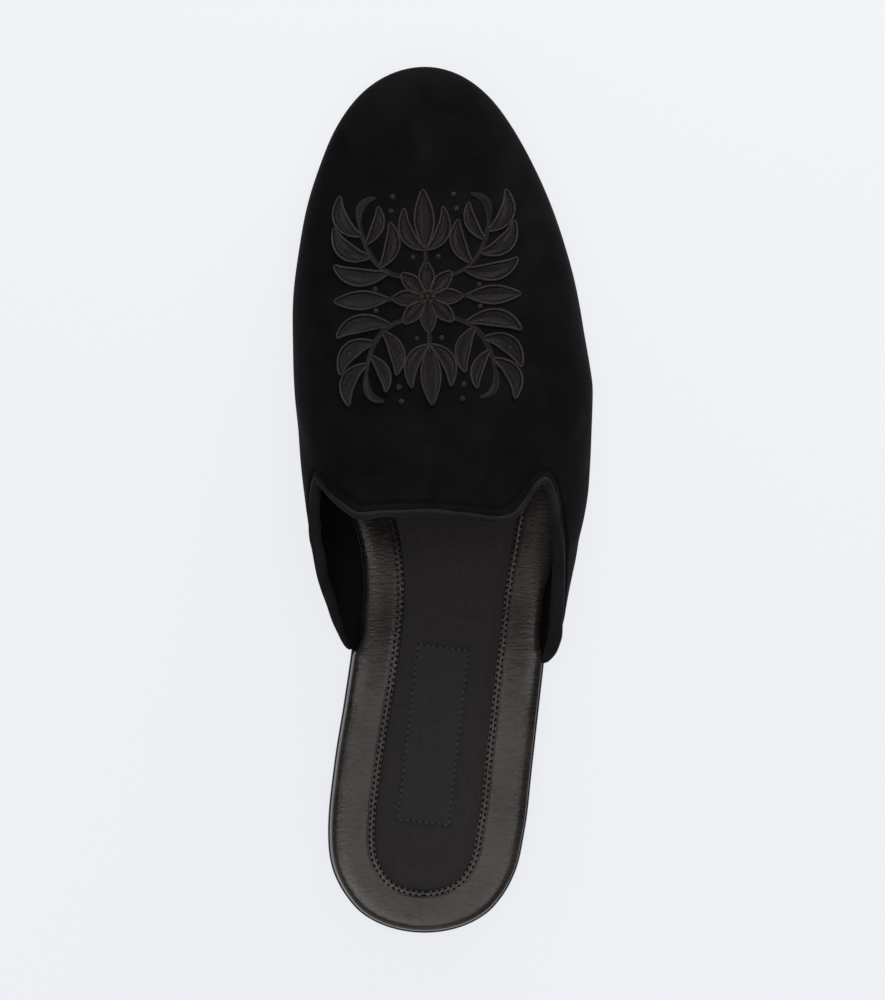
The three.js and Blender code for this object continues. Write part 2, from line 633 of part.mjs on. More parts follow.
// The flower in the middle of the embroidery
function rosetteSolid() {
  const steps = ROSETTE.petals * PETAL_STEPS;
  const rows = [0, 1].map((reach) =>
    Array.from({ length: steps + 1 }, (_, k) => {
      const angle = (2 * Math.PI * (k % steps)) / steps;
      const scallop = Math.abs(Math.cos((angle * ROSETTE.petals) / 2));
      const radius = reach * THREE.MathUtils.lerp(ROSETTE.hollow, ROSETTE.tip, scallop);
      return vampUnderMotif(new THREE.Vector2(radius * Math.cos(angle), radius * Math.sin(angle)));
    }),
  );
  return threadSolid(rows, ['start', 'end']);
}

// Embroidery: a medallion of a rosette, four leafy sprays and four buds, sewn on the vamp
function embroidery() {
  const flip = (strokes, signU, signV) =>
    strokes.map((stroke) => ({
      ...stroke,
      fromU: stroke.fromU * signU,
      bendU: stroke.bendU * signU,
      toU: stroke.toU * signU,
      fromV: stroke.fromV * signV,
      bendV: stroke.bendV * signV,
      toV: stroke.toV * signV,
    }));
  const strokes = [
    ...[1, -1].flatMap((signU) => [1, -1].flatMap((signV) => flip(SPRAY, signU, signV))),
    ...[1, -1].flatMap((signV) => flip(UPRIGHT_BUD, 1, signV)),
    ...[1, -1].flatMap((signU) => flip(LEVEL_BUD, signU, 1)),
  ];
  return geometryOf(wasm.Manifold.union([rosetteSolid(), ...strokes.map(strokeSolid)]));
}

const material = (color, roughness) => new THREE.MeshStandardMaterial({ color, roughness, metalness: 0 });
const VELVET = material(0x121214, 0.95);
const THREAD = material(0x1f1c1d, 0.6);
const SOLE_LEATHER = material(0x17140f, 0.35);
const HEEL_LEATHER = material(0x14110e, 0.4);
const SOCK_LEATHER = material(0x41403c, 0.5);
const SOCK_CLOTH = material(0x221f1e, 0.9);
const LABEL_CLOTH = material(0x262728, 0.8);

const shoe = new THREE.Group();
function place(name, geometry, finish) {
  const mesh = new THREE.Mesh(geometry, finish);
  mesh.name = name;
  shoe.add(mesh);
}

place('outsole', outsole(), SOLE_LEATHER);
place('heel', heel(), HEEL_LEATHER);
place('footbed', footbed(), SOCK_LEATHER);
place('sock_panel', sockPanel(), SOCK_CLOTH);
place('sock_label', sockLabel(), LABEL_CLOTH);
place('upper', upper(), VELVET);
place('embroidery', embroidery(), THREAD);

// The origin is on the floor under the middle of the shoe.
const box = new THREE.Box3().setFromObject(shoe);
const middle = box.getCenter(new THREE.Vector3());
shoe.children.forEach((mesh) => mesh.position.set(-middle.x, -middle.y, 0));

export default shoe;
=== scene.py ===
"""Looks of a right-foot velvet slipper mule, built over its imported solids.

Every shape is worked out in millimetres from the shoe's driving sizes, on whole numpy arrays, and goes into
its mesh in metres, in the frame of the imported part: +Y runs from heel to toe, +X to the outer side, +Z up.
"""

import logging
import math
from dataclasses import dataclass, field
from enum import Enum
from typing import Callable, NamedTuple, Sequence

import bpy
import numpy as np
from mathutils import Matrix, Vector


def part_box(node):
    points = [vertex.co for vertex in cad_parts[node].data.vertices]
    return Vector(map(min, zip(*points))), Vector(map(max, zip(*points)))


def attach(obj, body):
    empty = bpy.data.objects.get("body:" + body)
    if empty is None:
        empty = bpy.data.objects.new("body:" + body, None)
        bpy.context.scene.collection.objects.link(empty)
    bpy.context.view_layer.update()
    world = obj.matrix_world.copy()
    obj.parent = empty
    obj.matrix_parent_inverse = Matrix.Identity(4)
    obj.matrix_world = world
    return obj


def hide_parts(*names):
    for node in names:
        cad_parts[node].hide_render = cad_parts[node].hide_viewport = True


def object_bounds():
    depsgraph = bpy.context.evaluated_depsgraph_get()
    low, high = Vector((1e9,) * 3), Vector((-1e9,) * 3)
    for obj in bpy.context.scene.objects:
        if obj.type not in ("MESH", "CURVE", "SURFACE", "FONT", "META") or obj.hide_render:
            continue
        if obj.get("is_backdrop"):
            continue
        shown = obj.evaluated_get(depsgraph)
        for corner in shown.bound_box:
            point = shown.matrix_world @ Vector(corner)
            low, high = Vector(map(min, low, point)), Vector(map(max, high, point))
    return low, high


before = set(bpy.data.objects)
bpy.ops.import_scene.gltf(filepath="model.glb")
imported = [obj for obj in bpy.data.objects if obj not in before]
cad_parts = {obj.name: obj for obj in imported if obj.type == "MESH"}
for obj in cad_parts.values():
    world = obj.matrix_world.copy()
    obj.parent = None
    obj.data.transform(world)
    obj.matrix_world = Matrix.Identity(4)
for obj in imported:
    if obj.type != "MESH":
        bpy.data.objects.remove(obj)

LOG = logging.getLogger("mule")
CAD_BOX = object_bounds()
BODY = "root"
MM = 0.001
Array = np.ndarray


# Tables of the shoe's form

class PlanRow(NamedTuple):
    """Sole outline: share of its length from the heel, and half widths as shares of the ball width."""

    along: float
    inner: float
    outer: float


class LiftRow(NamedTuple):
    """Underside of the sole: lift as shares of the heel height and of the toe spring."""

    along: float
    heel: float
    toe: float


class WidestRow(NamedTuple):
    """Widest line of the upper: overhang in ball widths and height over the sole in instep heights."""

    along: float
    over_inner: float
    over_outer: float
    bulge_inner: float
    bulge_outer: float


class WallRow(NamedTuple):
    """Section of the upper: lean of the wall at the sole and fullness of each side above the widest line."""

    along: float
    lean: float
    full_inner: float
    full_outer: float


class RidgeRow(NamedTuple):
    """Ridge of the vamp: share of the shoe's length, rise in instep heights and side in ball widths."""

    along: float
    rise: float
    side: float


class ToplineRow(NamedTuple):
    """Back edge of the upper: girth from the ridge to the sole, and share of the sole's length."""

    girth: float
    along: float


class InsetRow(NamedTuple):
    """A width in millimetres at a share of the sole's length."""

    along: float
    width: float


SOLE_PLAN = (
    PlanRow(0, 0, 0),
    PlanRow(0.021, 0.206, 0.202),
    PlanRow(0.042, 0.264, 0.26),
    PlanRow(0.07, 0.308, 0.304),
    PlanRow(0.119, 0.328, 0.3375),
    PlanRow(0.196, 0.308, 0.364),
    PlanRow(0.273, 0.273, 0.389),
    PlanRow(0.336, 0.247, 0.41),
    PlanRow(0.402, 0.231, 0.433),
    PlanRow(0.469, 0.257, 0.466),
    PlanRow(0.51, 0.301, 0.489),
    PlanRow(0.559, 0.355, 0.509),
    PlanRow(0.629, 0.394, 0.522),
    PlanRow(0.71, 0.408, 0.494),
    PlanRow(0.811, 0.381, 0.426),
    PlanRow(0.888, 0.325, 0.338),
    PlanRow(0.941, 0.257, 0.252),
    PlanRow(0.979, 0.166, 0.158),
    PlanRow(1, 0, 0),
)
SOLE_LIFT = (
    LiftRow(0, 1, 0),
    LiftRow(0.21, 0.97, 0),
    LiftRow(0.28, 0.92, 0),
    LiftRow(0.33, 0.77, 0),
    LiftRow(0.4, 0.46, 0),
    LiftRow(0.49, 0.13, 0),
    LiftRow(0.56, 0, 0),
    LiftRow(0.75, 0, 0),
    LiftRow(0.87, 0, 0.24),
    LiftRow(1, 0, 1),
)
WIDEST_LINE = (
    WidestRow(0.2, 0.05, 0.044, 0.28, 0.18),
    WidestRow(0.325, 0.056, 0.044, 0.28, 0.18),
    WidestRow(0.378, 0.097, 0.053, 0.325, 0.21),
    WidestRow(0.427, 0.132, 0.058, 0.352, 0.24),
    WidestRow(0.469, 0.134, 0.063, 0.352, 0.25),
    WidestRow(0.51, 0.108, 0.061, 0.31, 0.24),
    WidestRow(0.559, 0.069, 0.052, 0.246, 0.21),
    WidestRow(0.629, 0.046, 0.045, 0.19, 0.18),
    WidestRow(0.734, 0.04, 0.042, 0.162, 0.162),
    WidestRow(1, 0.04, 0.04, 0.134, 0.134),
)
WALL_SHAPE = (
    WallRow(0.2, 0.45, 2.3, 1.57),
    WallRow(0.378, 0.45, 2.3, 1.57),
    WallRow(0.469, 0.38, 2.3, 1.57),
    WallRow(0.559, 0.3, 2.25, 1.7),
    WallRow(0.629, 0.25, 2.2, 1.85),
    WallRow(0.734, 0.2, 2.15, 2.05),
    WallRow(1, 0.2, 2.15, 2.15),
)
RIDGE = (
    RidgeRow(0.3, 0.96, 0.052),
    RidgeRow(0.4, 0.9, 0.05),
    RidgeRow(0.483, 0.787, 0.044),
    RidgeRow(0.569, 0.683, 0.037),
    RidgeRow(0.655, 0.57, 0.028),
    RidgeRow(0.741, 0.472, 0.015),
    RidgeRow(0.828, 0.37, 0),
    RidgeRow(0.914, 0.244, -0.004),
    RidgeRow(1, 0, 0),
)
TOPLINE_INNER = (
    ToplineRow(0, 0.493),
    ToplineRow(0.15, 0.4925),
    ToplineRow(0.27, 0.4895),
    ToplineRow(0.355, 0.502),
    ToplineRow(0.43, 0.517),
    ToplineRow(0.51, 0.532),
    ToplineRow(0.574, 0.507),
    ToplineRow(0.635, 0.479),
    ToplineRow(0.675, 0.455),
    ToplineRow(0.709, 0.427),
    ToplineRow(0.731, 0.402),
    ToplineRow(0.784, 0.378),
    ToplineRow(0.863, 0.351),
    ToplineRow(0.958, 0.334),
    ToplineRow(1, 0.3305),
)
TOPLINE_OUTER = (
    ToplineRow(0, 0.493),
    ToplineRow(0.1, 0.4905),
    ToplineRow(0.18, 0.487),
    ToplineRow(0.25, 0.485),
    ToplineRow(0.305, 0.4915),
    ToplineRow(0.338, 0.512),
    ToplineRow(0.365, 0.527),
    ToplineRow(0.398, 0.534),
    ToplineRow(0.445, 0.508),
    ToplineRow(0.475, 0.483),
    ToplineRow(0.53, 0.446),
    ToplineRow(0.575, 0.415),
    ToplineRow(0.605, 0.389),
    ToplineRow(0.637, 0.368),
    ToplineRow(0.69, 0.351),
    ToplineRow(0.77, 0.339),
    ToplineRow(0.88, 0.326),
    ToplineRow(1, 0.3145),
)
FOOTBED_INSET = (
    InsetRow(0, 0.6),
    InsetRow(0.3165, 0.65),
    InsetRow(0.327, 0.75),
    InsetRow(0.334, 1.7),
    InsetRow(0.345, 2.4),
    InsetRow(0.36, 2.7),
    InsetRow(1, 2.7),
)
BORDER_NARROWING = (
    InsetRow(0, 1.6),
    InsetRow(0.05, 0.6),
    InsetRow(0.12, 0),
    InsetRow(1, 0),
)


# Numeric helpers

class MonotoneCurve:
    """Smooth curve through one column of a table that never overshoots its rows (monotone cubic).

    Each row's slope is that of the parabola through it and its neighbours, held to three times the flatter
    side. With squared, the curve runs through the squares and its root is taken, which rounds an end where
    the column falls to 0.
    """

    STEEPEST = 3.0

    def __init__(self, rows: Sequence[NamedTuple], given: str, wanted: str, scale: float = 1.0,
                 squared: bool = False) -> None:
        """Reads the two columns and works out a slope at each row.

        Args:
            rows: the table, in rising order of the given column.
            given: name of the column that is looked up.
            wanted: name of the column that is returned.
            scale: factor on the wanted column.
            squared: whether the curve runs through the squares.
        """
        self.squared = squared
        self.xs = np.array([getattr(row, given) for row in rows], float)
        ys = np.array([getattr(row, wanted) for row in rows], float) * scale
        self.ys = ys**2 if squared else ys
        step = np.diff(self.xs)
        rise = np.diff(self.ys) / step
        inner = (step[1:] * rise[:-1] + step[:-1] * rise[1:]) / (step[:-1] + step[1:])
        first = rise[0] + (rise[0] - rise[1]) * step[0] / (step[0] + step[1])
        last = rise[-1] + (rise[-1] - rise[-2]) * step[-1] / (step[-1] + step[-2])
        slopes = np.concatenate([[first], inner, [last]])
        before, after = np.append(rise[0], rise), np.append(rise, rise[-1])
        limit = self.STEEPEST * np.minimum(np.abs(before), np.abs(after))
        held = np.sign(slopes) * np.minimum(np.abs(slopes), limit)
        self.slopes = np.where((before * after > 0) & (slopes * before > 0), held, 0.0)

    def __call__(self, value: Array | float) -> Array:
        """Value of the curve between its rows: a cubic through their values and slopes.

        Args:
            value: one place, or an array of places, in the given column.

        Returns:
            The wanted column's value at each place.
        """
        x = np.clip(value, self.xs[0], self.xs[-1])
        k = np.clip(np.searchsorted(self.xs, x) - 1, 0, len(self.xs) - 2)
        span = self.xs[k + 1] - self.xs[k]
        t = (x - self.xs[k]) / span
        y = (
            self.ys[k] * (1 + 2 * t) * (1 - t) ** 2
            + self.ys[k + 1] * t * t * (3 - 2 * t)
            + span * t * (1 - t) * (self.slopes[k] * (1 - t) - self.slopes[k + 1] * t)
        )
        return np.sqrt(np.maximum(0, y)) if self.squared else y


def lerp(start: Array, end: Array, share: Array) -> Array:
    """Returns the value at a share of the way from start to end."""
    return start + (end - start) * share


def smoothstep(value: Array, low: float, high: float) -> Array:
    """Returns a smooth ramp from 0 at low to 1 at high."""
    t = np.clip((value - low) / (high - low), 0, 1)
    return t * t * (3 - 2 * t)


def bell(value: Array, width: float) -> Array:
    """Returns a soft bump of height 1 at 0, exp(-(value/width)^2)."""
    return np.exp(-((value / width) ** 2))


def stack(x: Array, y: Array, z: Array) -> Array:
    """Returns points from three arrays of coordinates of one shape."""
    return np.stack(np.broadcast_arrays(x, y, z), axis=-1)


def eased(count: int) -> Array:
    """Returns this many places from 0 to 1, closer together at both ends: (1 - cos(pi t)) / 2."""
    return (1 - np.cos(np.linspace(0, np.pi, count))) / 2


def run_along(line: Array) -> Array:
    """Returns the distance along a line of points from its first one to each, shape (n, 3) to (n,)."""
    return np.concatenate([[0.0], np.cumsum(np.linalg.norm(np.diff(line, axis=0), axis=1))])


def unit(vectors: Array) -> Array:
    """Returns the vectors at length 1."""
    length = np.linalg.norm(vectors, axis=-1, keepdims=True)
    return vectors / np.maximum(length, 1e-9)


def distance_to_line(points: Array, line: Array) -> Array:
    """Least distance from each point to a line of closely spaced points.

    Args:
        points: grid of points, shape (rows, columns, 3).
        line: points of the line, shape (n, 3).

    Returns:
        Distances, shape (rows, columns).
    """
    nearest = [np.linalg.norm(row[:, None, :] - line[None], axis=-1).min(axis=1) for row in points]
    return np.array(nearest)


# The form of the shoe

@dataclass
class Last:
    """The shoe's form from its driving sizes in millimetres: outline, heights and the upper's surface."""

    length: float = 290.0
    ball_width: float = 99.0
    instep_height: float = 71.0
    heel_height: float = 12.0
    toe_spring: float = 9.0
    toe_overhang: float = 4.0
    sole_thickness: float = 4.0
    footbed_thickness: float = 4.2
    panel_recess: float = 1.0
    panel_thickness: float = 0.6
    border_width: float = 13.4
    feather_margin: float = 0.6
    wall: float = 1.8
    gap: float = 0.3
    bulge_girth: float = 0.72
    corner_rounding: float = 0.027
    corner_samples: int = 17
    level_girth: float = 0.25
    outline_samples: int = 2000
    edge_samples: int = 4000
    share_step: float = 0.001
    girth_step: float = 0.004
    topline_rounds: int = 12
    plan_rounds: int = 6
    halvings: int = 22
    origin: Array = field(default_factory=lambda: np.zeros(3))

    def __post_init__(self) -> None:
        """Prepares the curves of the tables and finds the part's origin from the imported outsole."""
        self.sole_length = self.length - self.toe_overhang
        self.wall_inset = self.feather_margin + self.wall + self.gap
        ball, instep = self.ball_width, self.instep_height
        self.half_inner = MonotoneCurve(SOLE_PLAN, "along", "inner", ball, True)
        self.half_outer = MonotoneCurve(SOLE_PLAN, "along", "outer", ball, True)
        self.heel_lift = MonotoneCurve(SOLE_LIFT, "along", "heel", self.heel_height)
        self.toe_lift = MonotoneCurve(SOLE_LIFT, "along", "toe", self.toe_spring)
        self.over_inner = MonotoneCurve(WIDEST_LINE, "along", "over_inner", ball)
        self.over_outer = MonotoneCurve(WIDEST_LINE, "along", "over_outer", ball)
        self.bulge_inner = MonotoneCurve(WIDEST_LINE, "along", "bulge_inner", instep)
        self.bulge_outer = MonotoneCurve(WIDEST_LINE, "along", "bulge_outer", instep)
        self.lean = MonotoneCurve(WALL_SHAPE, "along", "lean")
        self.full_inner = MonotoneCurve(WALL_SHAPE, "along", "full_inner")
        self.full_outer = MonotoneCurve(WALL_SHAPE, "along", "full_outer")
        self.ridge_rise = MonotoneCurve(RIDGE, "along", "rise", instep, True)
        self.ridge_side = MonotoneCurve(RIDGE, "along", "side", ball)
        self.topline_inner = MonotoneCurve(TOPLINE_INNER, "girth", "along")
        self.topline_outer = MonotoneCurve(TOPLINE_OUTER, "girth", "along")
        self.footbed_inset = MonotoneCurve(FOOTBED_INSET, "along", "width")
        self.border_narrowing = MonotoneCurve(BORDER_NARROWING, "along", "width")
        self.toe_bulge = WIDEST_LINE[-1].bulge_inner * instep
        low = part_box("outsole")[0]
        widest_inner = float(self.half_inner(np.linspace(0, 1, self.outline_samples)).max())
        self.origin = np.array([-low.x / MM - widest_inner, -low.y / MM, 0.0])

    def sole_bottom(self, y: Array) -> Array:
        """Height of the sole's underside at a distance from the heel."""
        return self.heel_lift(y / self.sole_length) + self.toe_lift(y / self.sole_length)

    def sole_top(self, y: Array) -> Array:
        """Height of the sole's upper face at a distance from the heel."""
        return self.sole_bottom(y) + self.sole_thickness

    def footbed_top(self, y: Array) -> Array:
        """Height of the insole's leather border at a distance from the heel."""
        return self.sole_top(y) + self.gap + self.footbed_thickness

    def panel_top(self, y: Array) -> Array:
        """Height of the insole's cloth panel at a distance from the heel."""
        return self.footbed_top(y) - self.panel_recess + self.gap + self.panel_thickness

    def sole_edge(self, share: Array, sign: Array, offset: Array | float = 0.0) -> tuple[Array, Array]:
        """Sole's edge in plan, moved square to the edge.

        Args:
            share: place along the sole, from 0 at the heel to 1 at the toe.
            sign: -1 on the inner side and 1 on the outer side.
            offset: distance outwards in millimetres.

        Returns:
            The x and y of the points.
        """
        step = self.share_step / 2
        share = np.asarray(share, float)

        def half(at: Array) -> Array:
            """Half width on each point's side."""
            return np.where(sign < 0, self.half_inner(at), self.half_outer(at))

        before, after = np.maximum(0, share - step), np.minimum(1, share + step)
        dx, dy = half(after) - half(before), (after - before) * self.sole_length
        size = np.hypot(dx, dy)
        tip = (share <= 0) | (share >= 1)
        across = np.where(tip, 0.0, sign * dy / size)
        along = np.where(tip, np.where(share <= 0, -1.0, 1.0), -dx / size)
        return sign * half(share) + across * offset, share * self.sole_length + along * offset

    def both_edges(self, share: Array, outer: Array | float,
                   inner: Array | float) -> tuple[tuple[Array, Array], tuple[Array, Array]]:
        """Returns the sole's edge on its outer and its inner side, each moved outwards by its own offset."""
        ones = np.ones_like(share)
        return self.sole_edge(share, ones, outer), self.sole_edge(share, -ones, inner)

    def widest(self, share: Array, sign: Array) -> Array:
        """Points of the upper's widest line: the sole's edge moved out by the overhang and up by the bulge.

        Args:
            share: places along the sole.
            sign: -1 on the inner side and 1 on the outer side.

        Returns:
            Points, of the arguments' shape and one more axis of 3.
        """
        inner = sign < 0
        over = np.where(inner, self.over_inner(share), self.over_outer(share))
        bulge = np.where(inner, self.bulge_inner(share), self.bulge_outer(share))
        x, y = self.sole_edge(share, sign, over)
        return stack(x, y, self.sole_top(np.minimum(y, self.sole_length)) + bulge)

    def upper(self, girth: Array, share: Array) -> Array:
        """Points of the upper's outer surface.

        Below the widest line the wall is a parabola that leaves the sole at the section's lean and ends
        upright. Above it the section is a superellipse up to the ridge: x = cos(a)^(2/n), z = sin(a)^(2/n).

        Args:
            girth: -1 where the inner wall meets the sole, 0 at the ridge, 1 where the outer wall meets it.
            share: place along the sole, from 0 at the heel to 1 at the toe.

        Returns:
            Points, of the arguments' shape and one more axis of 3.
        """
        girth, share = np.broadcast_arrays(np.asarray(girth, float), np.asarray(share, float))
        sign = np.where(girth < 0, -1.0, 1.0)
        height = np.abs(girth)
        bulge, other = self.widest(share, sign), self.widest(share, -sign)

        foot_x, foot_y = self.sole_edge(share, sign, -self.feather_margin)
        t = np.clip((1 - height) / (1 - self.bulge_girth), 0, 1)
        out = 2 * t - t * t
        up = 2 * t * (1 - t) * self.lean(share) + t * t
        low = stack(
            lerp(foot_x, bulge[..., 0], out),
            lerp(foot_y, bulge[..., 1], out),
            lerp(self.sole_top(foot_y) + self.gap, bulge[..., 2], up),
        )

        ridge_y = (bulge[..., 1] + other[..., 1]) / 2
        ridge_x = self.ridge_side(ridge_y / self.length)
        ridge_z = self.sole_top(np.minimum(ridge_y, self.sole_length)) + self.toe_bulge
        ridge_z = ridge_z + self.ridge_rise(ridge_y / self.length)
        angle = (np.pi / 2) * np.clip(1 - height / self.bulge_girth, 0, 1)
        power = 2 / np.where(girth < 0, self.full_inner(share), self.full_outer(share))
        out = np.maximum(0, np.cos(angle)) ** power
        up = np.sin(angle) ** power
        high = stack(
            lerp(ridge_x, bulge[..., 0], out),
            lerp(ridge_y, bulge[..., 1], out),
            lerp(bulge[..., 2], ridge_z, up),
        )
        return np.where((height > self.bulge_girth)[..., None], low, high)

    def upper_normal(self, girth: Array, share: Array) -> Array:
        """Outward directions of the upper's surface: the cross product of its two tangents.

        At the toe's tip, where the lines of equal girth meet, they lie in the plane x = 0.

        Args:
            girth: places round the shoe, from -1 to 1.
            share: places along the sole.

        Returns:
            Directions of length 1, of the arguments' shape and one more axis of 3.
        """
        girth, share = np.broadcast_arrays(np.asarray(girth, float), np.asarray(share, float))
        across = self.upper(np.minimum(girth + self.girth_step, 1), share)
        across = across - self.upper(np.maximum(girth - self.girth_step, -1), share)
        after = np.minimum(share + self.share_step, 1)
        lengthwise = self.upper(girth, after) - self.upper(girth, share - self.share_step)
        normal = unit(np.cross(across, lengthwise))
        side = np.where(girth < 0, -1.0, 1.0)
        flat = unit(stack(0 * girth, -across[..., 2] * side, across[..., 1] * side))
        pole = np.abs(girth) <= self.bulge_girth
        tip = np.where(pole[..., None], np.array([0.0, 1.0, 0.0]), flat)
        return np.where((share >= 1)[..., None], tip, normal)

    def wall_direction(self, girth: Array, share: Array) -> Array:
        """Directions through the upper's wall: square to it, but level where the wall stands on the sole.

        Args:
            girth: places round the shoe, from -1 to 1.
            share: places along the sole.

        Returns:
            Directions of length 1, of the arguments' shape and one more axis of 3.
        """
        normal = self.upper_normal(girth, share)
        level = smoothstep(1 - np.abs(girth), 0, self.level_girth)
        return unit(normal * stack(1.0, 1.0, np.broadcast_to(level, normal.shape[:-1])))

    def topline(self, girth: Array) -> Array:
        """Place along the sole at which the velvet ends, for lines of equal girth.

        The curves of the two sides are averaged over nearby girths, weighted by a bell, which rounds the
        corners. Each place is then moved until its point on the surface lies at the curve's distance.

        Args:
            girth: places round the shoe, from -1 to 1.

        Returns:
            Places along the sole, of the same shape.
        """
        shift = np.linspace(-2, 2, self.corner_samples) * self.corner_rounding
        weight = bell(shift, self.corner_rounding)
        near = np.clip(girth[..., None] + shift, -1, 1)
        sides = np.where(near < 0, self.topline_inner(np.abs(near)), self.topline_outer(np.abs(near)))
        along = np.sum(sides * weight, axis=-1) / weight.sum()
        y = along * self.sole_length
        share = along.copy()
        for _ in range(self.topline_rounds):
            share = share + (y - self.upper(girth, share)[..., 1]) / self.length
        return share

    def vamp_under(self, x: Array, y: Array) -> tuple[Array, Array]:
        """Places on the vamp straight below places in plan, by halving the girth and moving along the sole.

        Args:
            x: places across the shoe.
            y: distances from the heel.

        Returns:
            The girths and the places along the sole.
        """
        share = y / self.sole_length
        girth = np.zeros_like(x)
        for _ in range(self.plan_rounds):
            low = np.full_like(x, -self.bulge_girth)
            high = np.full_like(x, self.bulge_girth)
            for _ in range(self.halvings):
                girth = (low + high) / 2
                short = self.upper(girth, share)[..., 0] < x
                low, high = np.where(short, girth, low), np.where(short, high, girth)
            share = share + (y - self.upper(girth, share)[..., 1]) / self.length
        return girth, share

    def stations(self, count: int, start: float = 0.0, end: float = 1.0) -> Array:
        """Places along the sole, spaced evenly along the mean of its two edges.

        Args:
            count: number of steps.
            start: first place.
            end: last place.

        Returns:
            The places, one more than the steps.
        """
        fine = start + eased(self.edge_samples) * (end - start)
        steps = [np.hypot(*np.diff(edge, axis=1)) for edge in self.both_edges(fine, 0.0, 0.0)]
        run = np.concatenate([[0.0], np.cumsum((steps[0] + steps[1]) / 2)])
        return np.interp(np.linspace(0, run[-1], count + 1), run, fine)


# Meshes

@dataclass
class Surface:
    """Points in millimetres with triangles, and a UV for each point where a pattern follows the surface."""

    WELD_DIGITS = 4

    points: Array
    triangles: Array
    uv: Array | None = None

    @staticmethod
    def joined(parts: Sequence["Surface"]) -> "Surface":
        """One surface that holds all the given ones.

        Args:
            parts: the surfaces, in order.

        Returns:
            The joined surface, with UVs where every part has them.
        """
        starts = np.cumsum([0] + [len(part.points) for part in parts[:-1]])
        triangles = np.concatenate([part.triangles + start for part, start in zip(parts, starts)])
        has_uv = all(part.uv is not None for part in parts)
        uv = np.concatenate([part.uv for part in parts]) if has_uv else None
        return Surface(np.concatenate([part.points for part in parts]), triangles, uv)

    def welded(self) -> "Surface":
        """The surface with equal points merged and collapsed triangles left out.

        Returns:
            The welded surface.
        """
        keys = np.round(self.points, self.WELD_DIGITS) + 0.0
        _, first, back = np.unique(keys, axis=0, return_index=True, return_inverse=True)
        triangles = back.reshape(-1)[self.triangles]
        a, b, c = triangles.T
        kept = triangles[(a != b) & (b != c) & (c != a)]
        return Surface(self.points[first], kept, None if self.uv is None else self.uv[first])


def quads(a: Array, b: Array, c: Array, d: Array) -> Array:
    """Two triangles for each quad.

    Args:
        a: point numbers of the first corners.
        b: point numbers of the second corners.
        c: point numbers of the third corners.
        d: point numbers of the fourth corners.

    Returns:
        Triangles, shape (2 n, 3).
    """
    a, b, c, d = (np.ravel(corner) for corner in (a, b, c, d))
    return np.concatenate([np.stack([a, b, c], axis=1), np.stack([a, c, d], axis=1)])


def grid_solid(top: Array, bottom: Array, open_start: bool = False) -> Surface:
    """Closed solid between two grids of points of one size.

    Args:
        top: outer grid, shape (rows, columns, 3), whose rows and columns turn outwards by the right hand.
        bottom: inner grid of the same shape.
        open_start: leaves the first column open, where the grid meets itself.

    Returns:
        The welded surface.
    """
    rows, columns = top.shape[:2]
    number = np.arange(rows * columns).reshape(rows, columns)
    under = number + rows * columns

    def sheet(n: Array) -> Array:
        """Triangles of one grid."""
        return quads(n[:-1, :-1], n[1:, :-1], n[1:, 1:], n[:-1, 1:])

    parts = [
        sheet(number),
        sheet(under)[:, ::-1],
        quads(number[0, :-1], number[0, 1:], under[0, 1:], under[0, :-1]),
        quads(number[-1, 1:], number[-1, :-1], under[-1, :-1], under[-1, 1:]),
        quads(number[:-1, -1], number[1:, -1], under[1:, -1], under[:-1, -1]),
    ]
    if not open_start:
        parts.append(quads(number[1:, 0], number[:-1, 0], under[:-1, 0], under[1:, 0]))
    points = np.concatenate([top.reshape(-1, 3), bottom.reshape(-1, 3)])
    return Surface(points, np.concatenate(parts)).welded()


def ring_strip(rings: Array, uv: Array | None = None) -> Surface:
    """Surface through rings of points, each ring closed on itself.

    Args:
        rings: shape (rings, points, 3), each ring turning left when seen from the next one.
        uv: a UV for each point of the rings.

    Returns:
        The surface, open at its first and last ring.
    """
    count, around = rings.shape[:2]
    number = np.arange(count * around).reshape(count, around)
    after = np.roll(number, -1, axis=1)
    triangles = quads(number[:-1], after[:-1], after[1:], number[1:])
    return Surface(rings.reshape(-1, 3), triangles, None if uv is None else uv.reshape(-1, 2))


def fan(ring: Array, upward: bool) -> Surface:
    """Flat cap over a ring of points, as a fan from its middle.

    Args:
        ring: points, shape (n, 3), turning left when seen from above.
        upward: whether the cap faces up.

    Returns:
        The cap.
    """
    around = np.arange(len(ring))
    after = np.roll(around, -1)
    centre = np.full(len(ring), len(ring))
    triangles = np.stack([around, after, centre], axis=1)
    points = np.concatenate([ring, ring.mean(axis=0, keepdims=True)])
    return Surface(points, triangles if upward else triangles[:, ::-1])


def outline_ring(last: Last, shares: Array, offset: Array | float,
                 height: Callable[[Array], Array]) -> Array:
    """Closed ring along the sole's outline: up the outer side from heel to toe and back down the inner side.

    Args:
        last: the shoe's form.
        shares: places along the sole, from heel to toe.
        offset: distance outside the edge: one for all places, one for each, or a row for each side.
        height: height at a distance from the heel.

    Returns:
        Points of the ring, twice as many as places less two.
    """
    offset = np.broadcast_to(offset, (2, len(shares)))
    outer, inner = last.both_edges(shares, *offset)
    x = np.concatenate([outer[0], inner[0][-2:0:-1]])
    y = np.concatenate([outer[1], inner[1][-2:0:-1]])
    return stack(x, y, height(y))


def outline_caps(ring: Array, shares: Array, upward: bool) -> Surface:
    """Cap inside a ring of the sole's outline, in strips from the outer side to the inner side.

    Args:
        ring: points of the ring.
        shares: places along the sole from which the ring was made.
        upward: whether the cap faces up.

    Returns:
        The cap.
    """
    count = len(shares)
    outer = np.arange(count)
    inner = (-outer) % len(ring)
    triangles = quads(outer[:-1], outer[1:], inner[1:], inner[:-1])
    return Surface(ring, triangles if upward else triangles[:, ::-1])


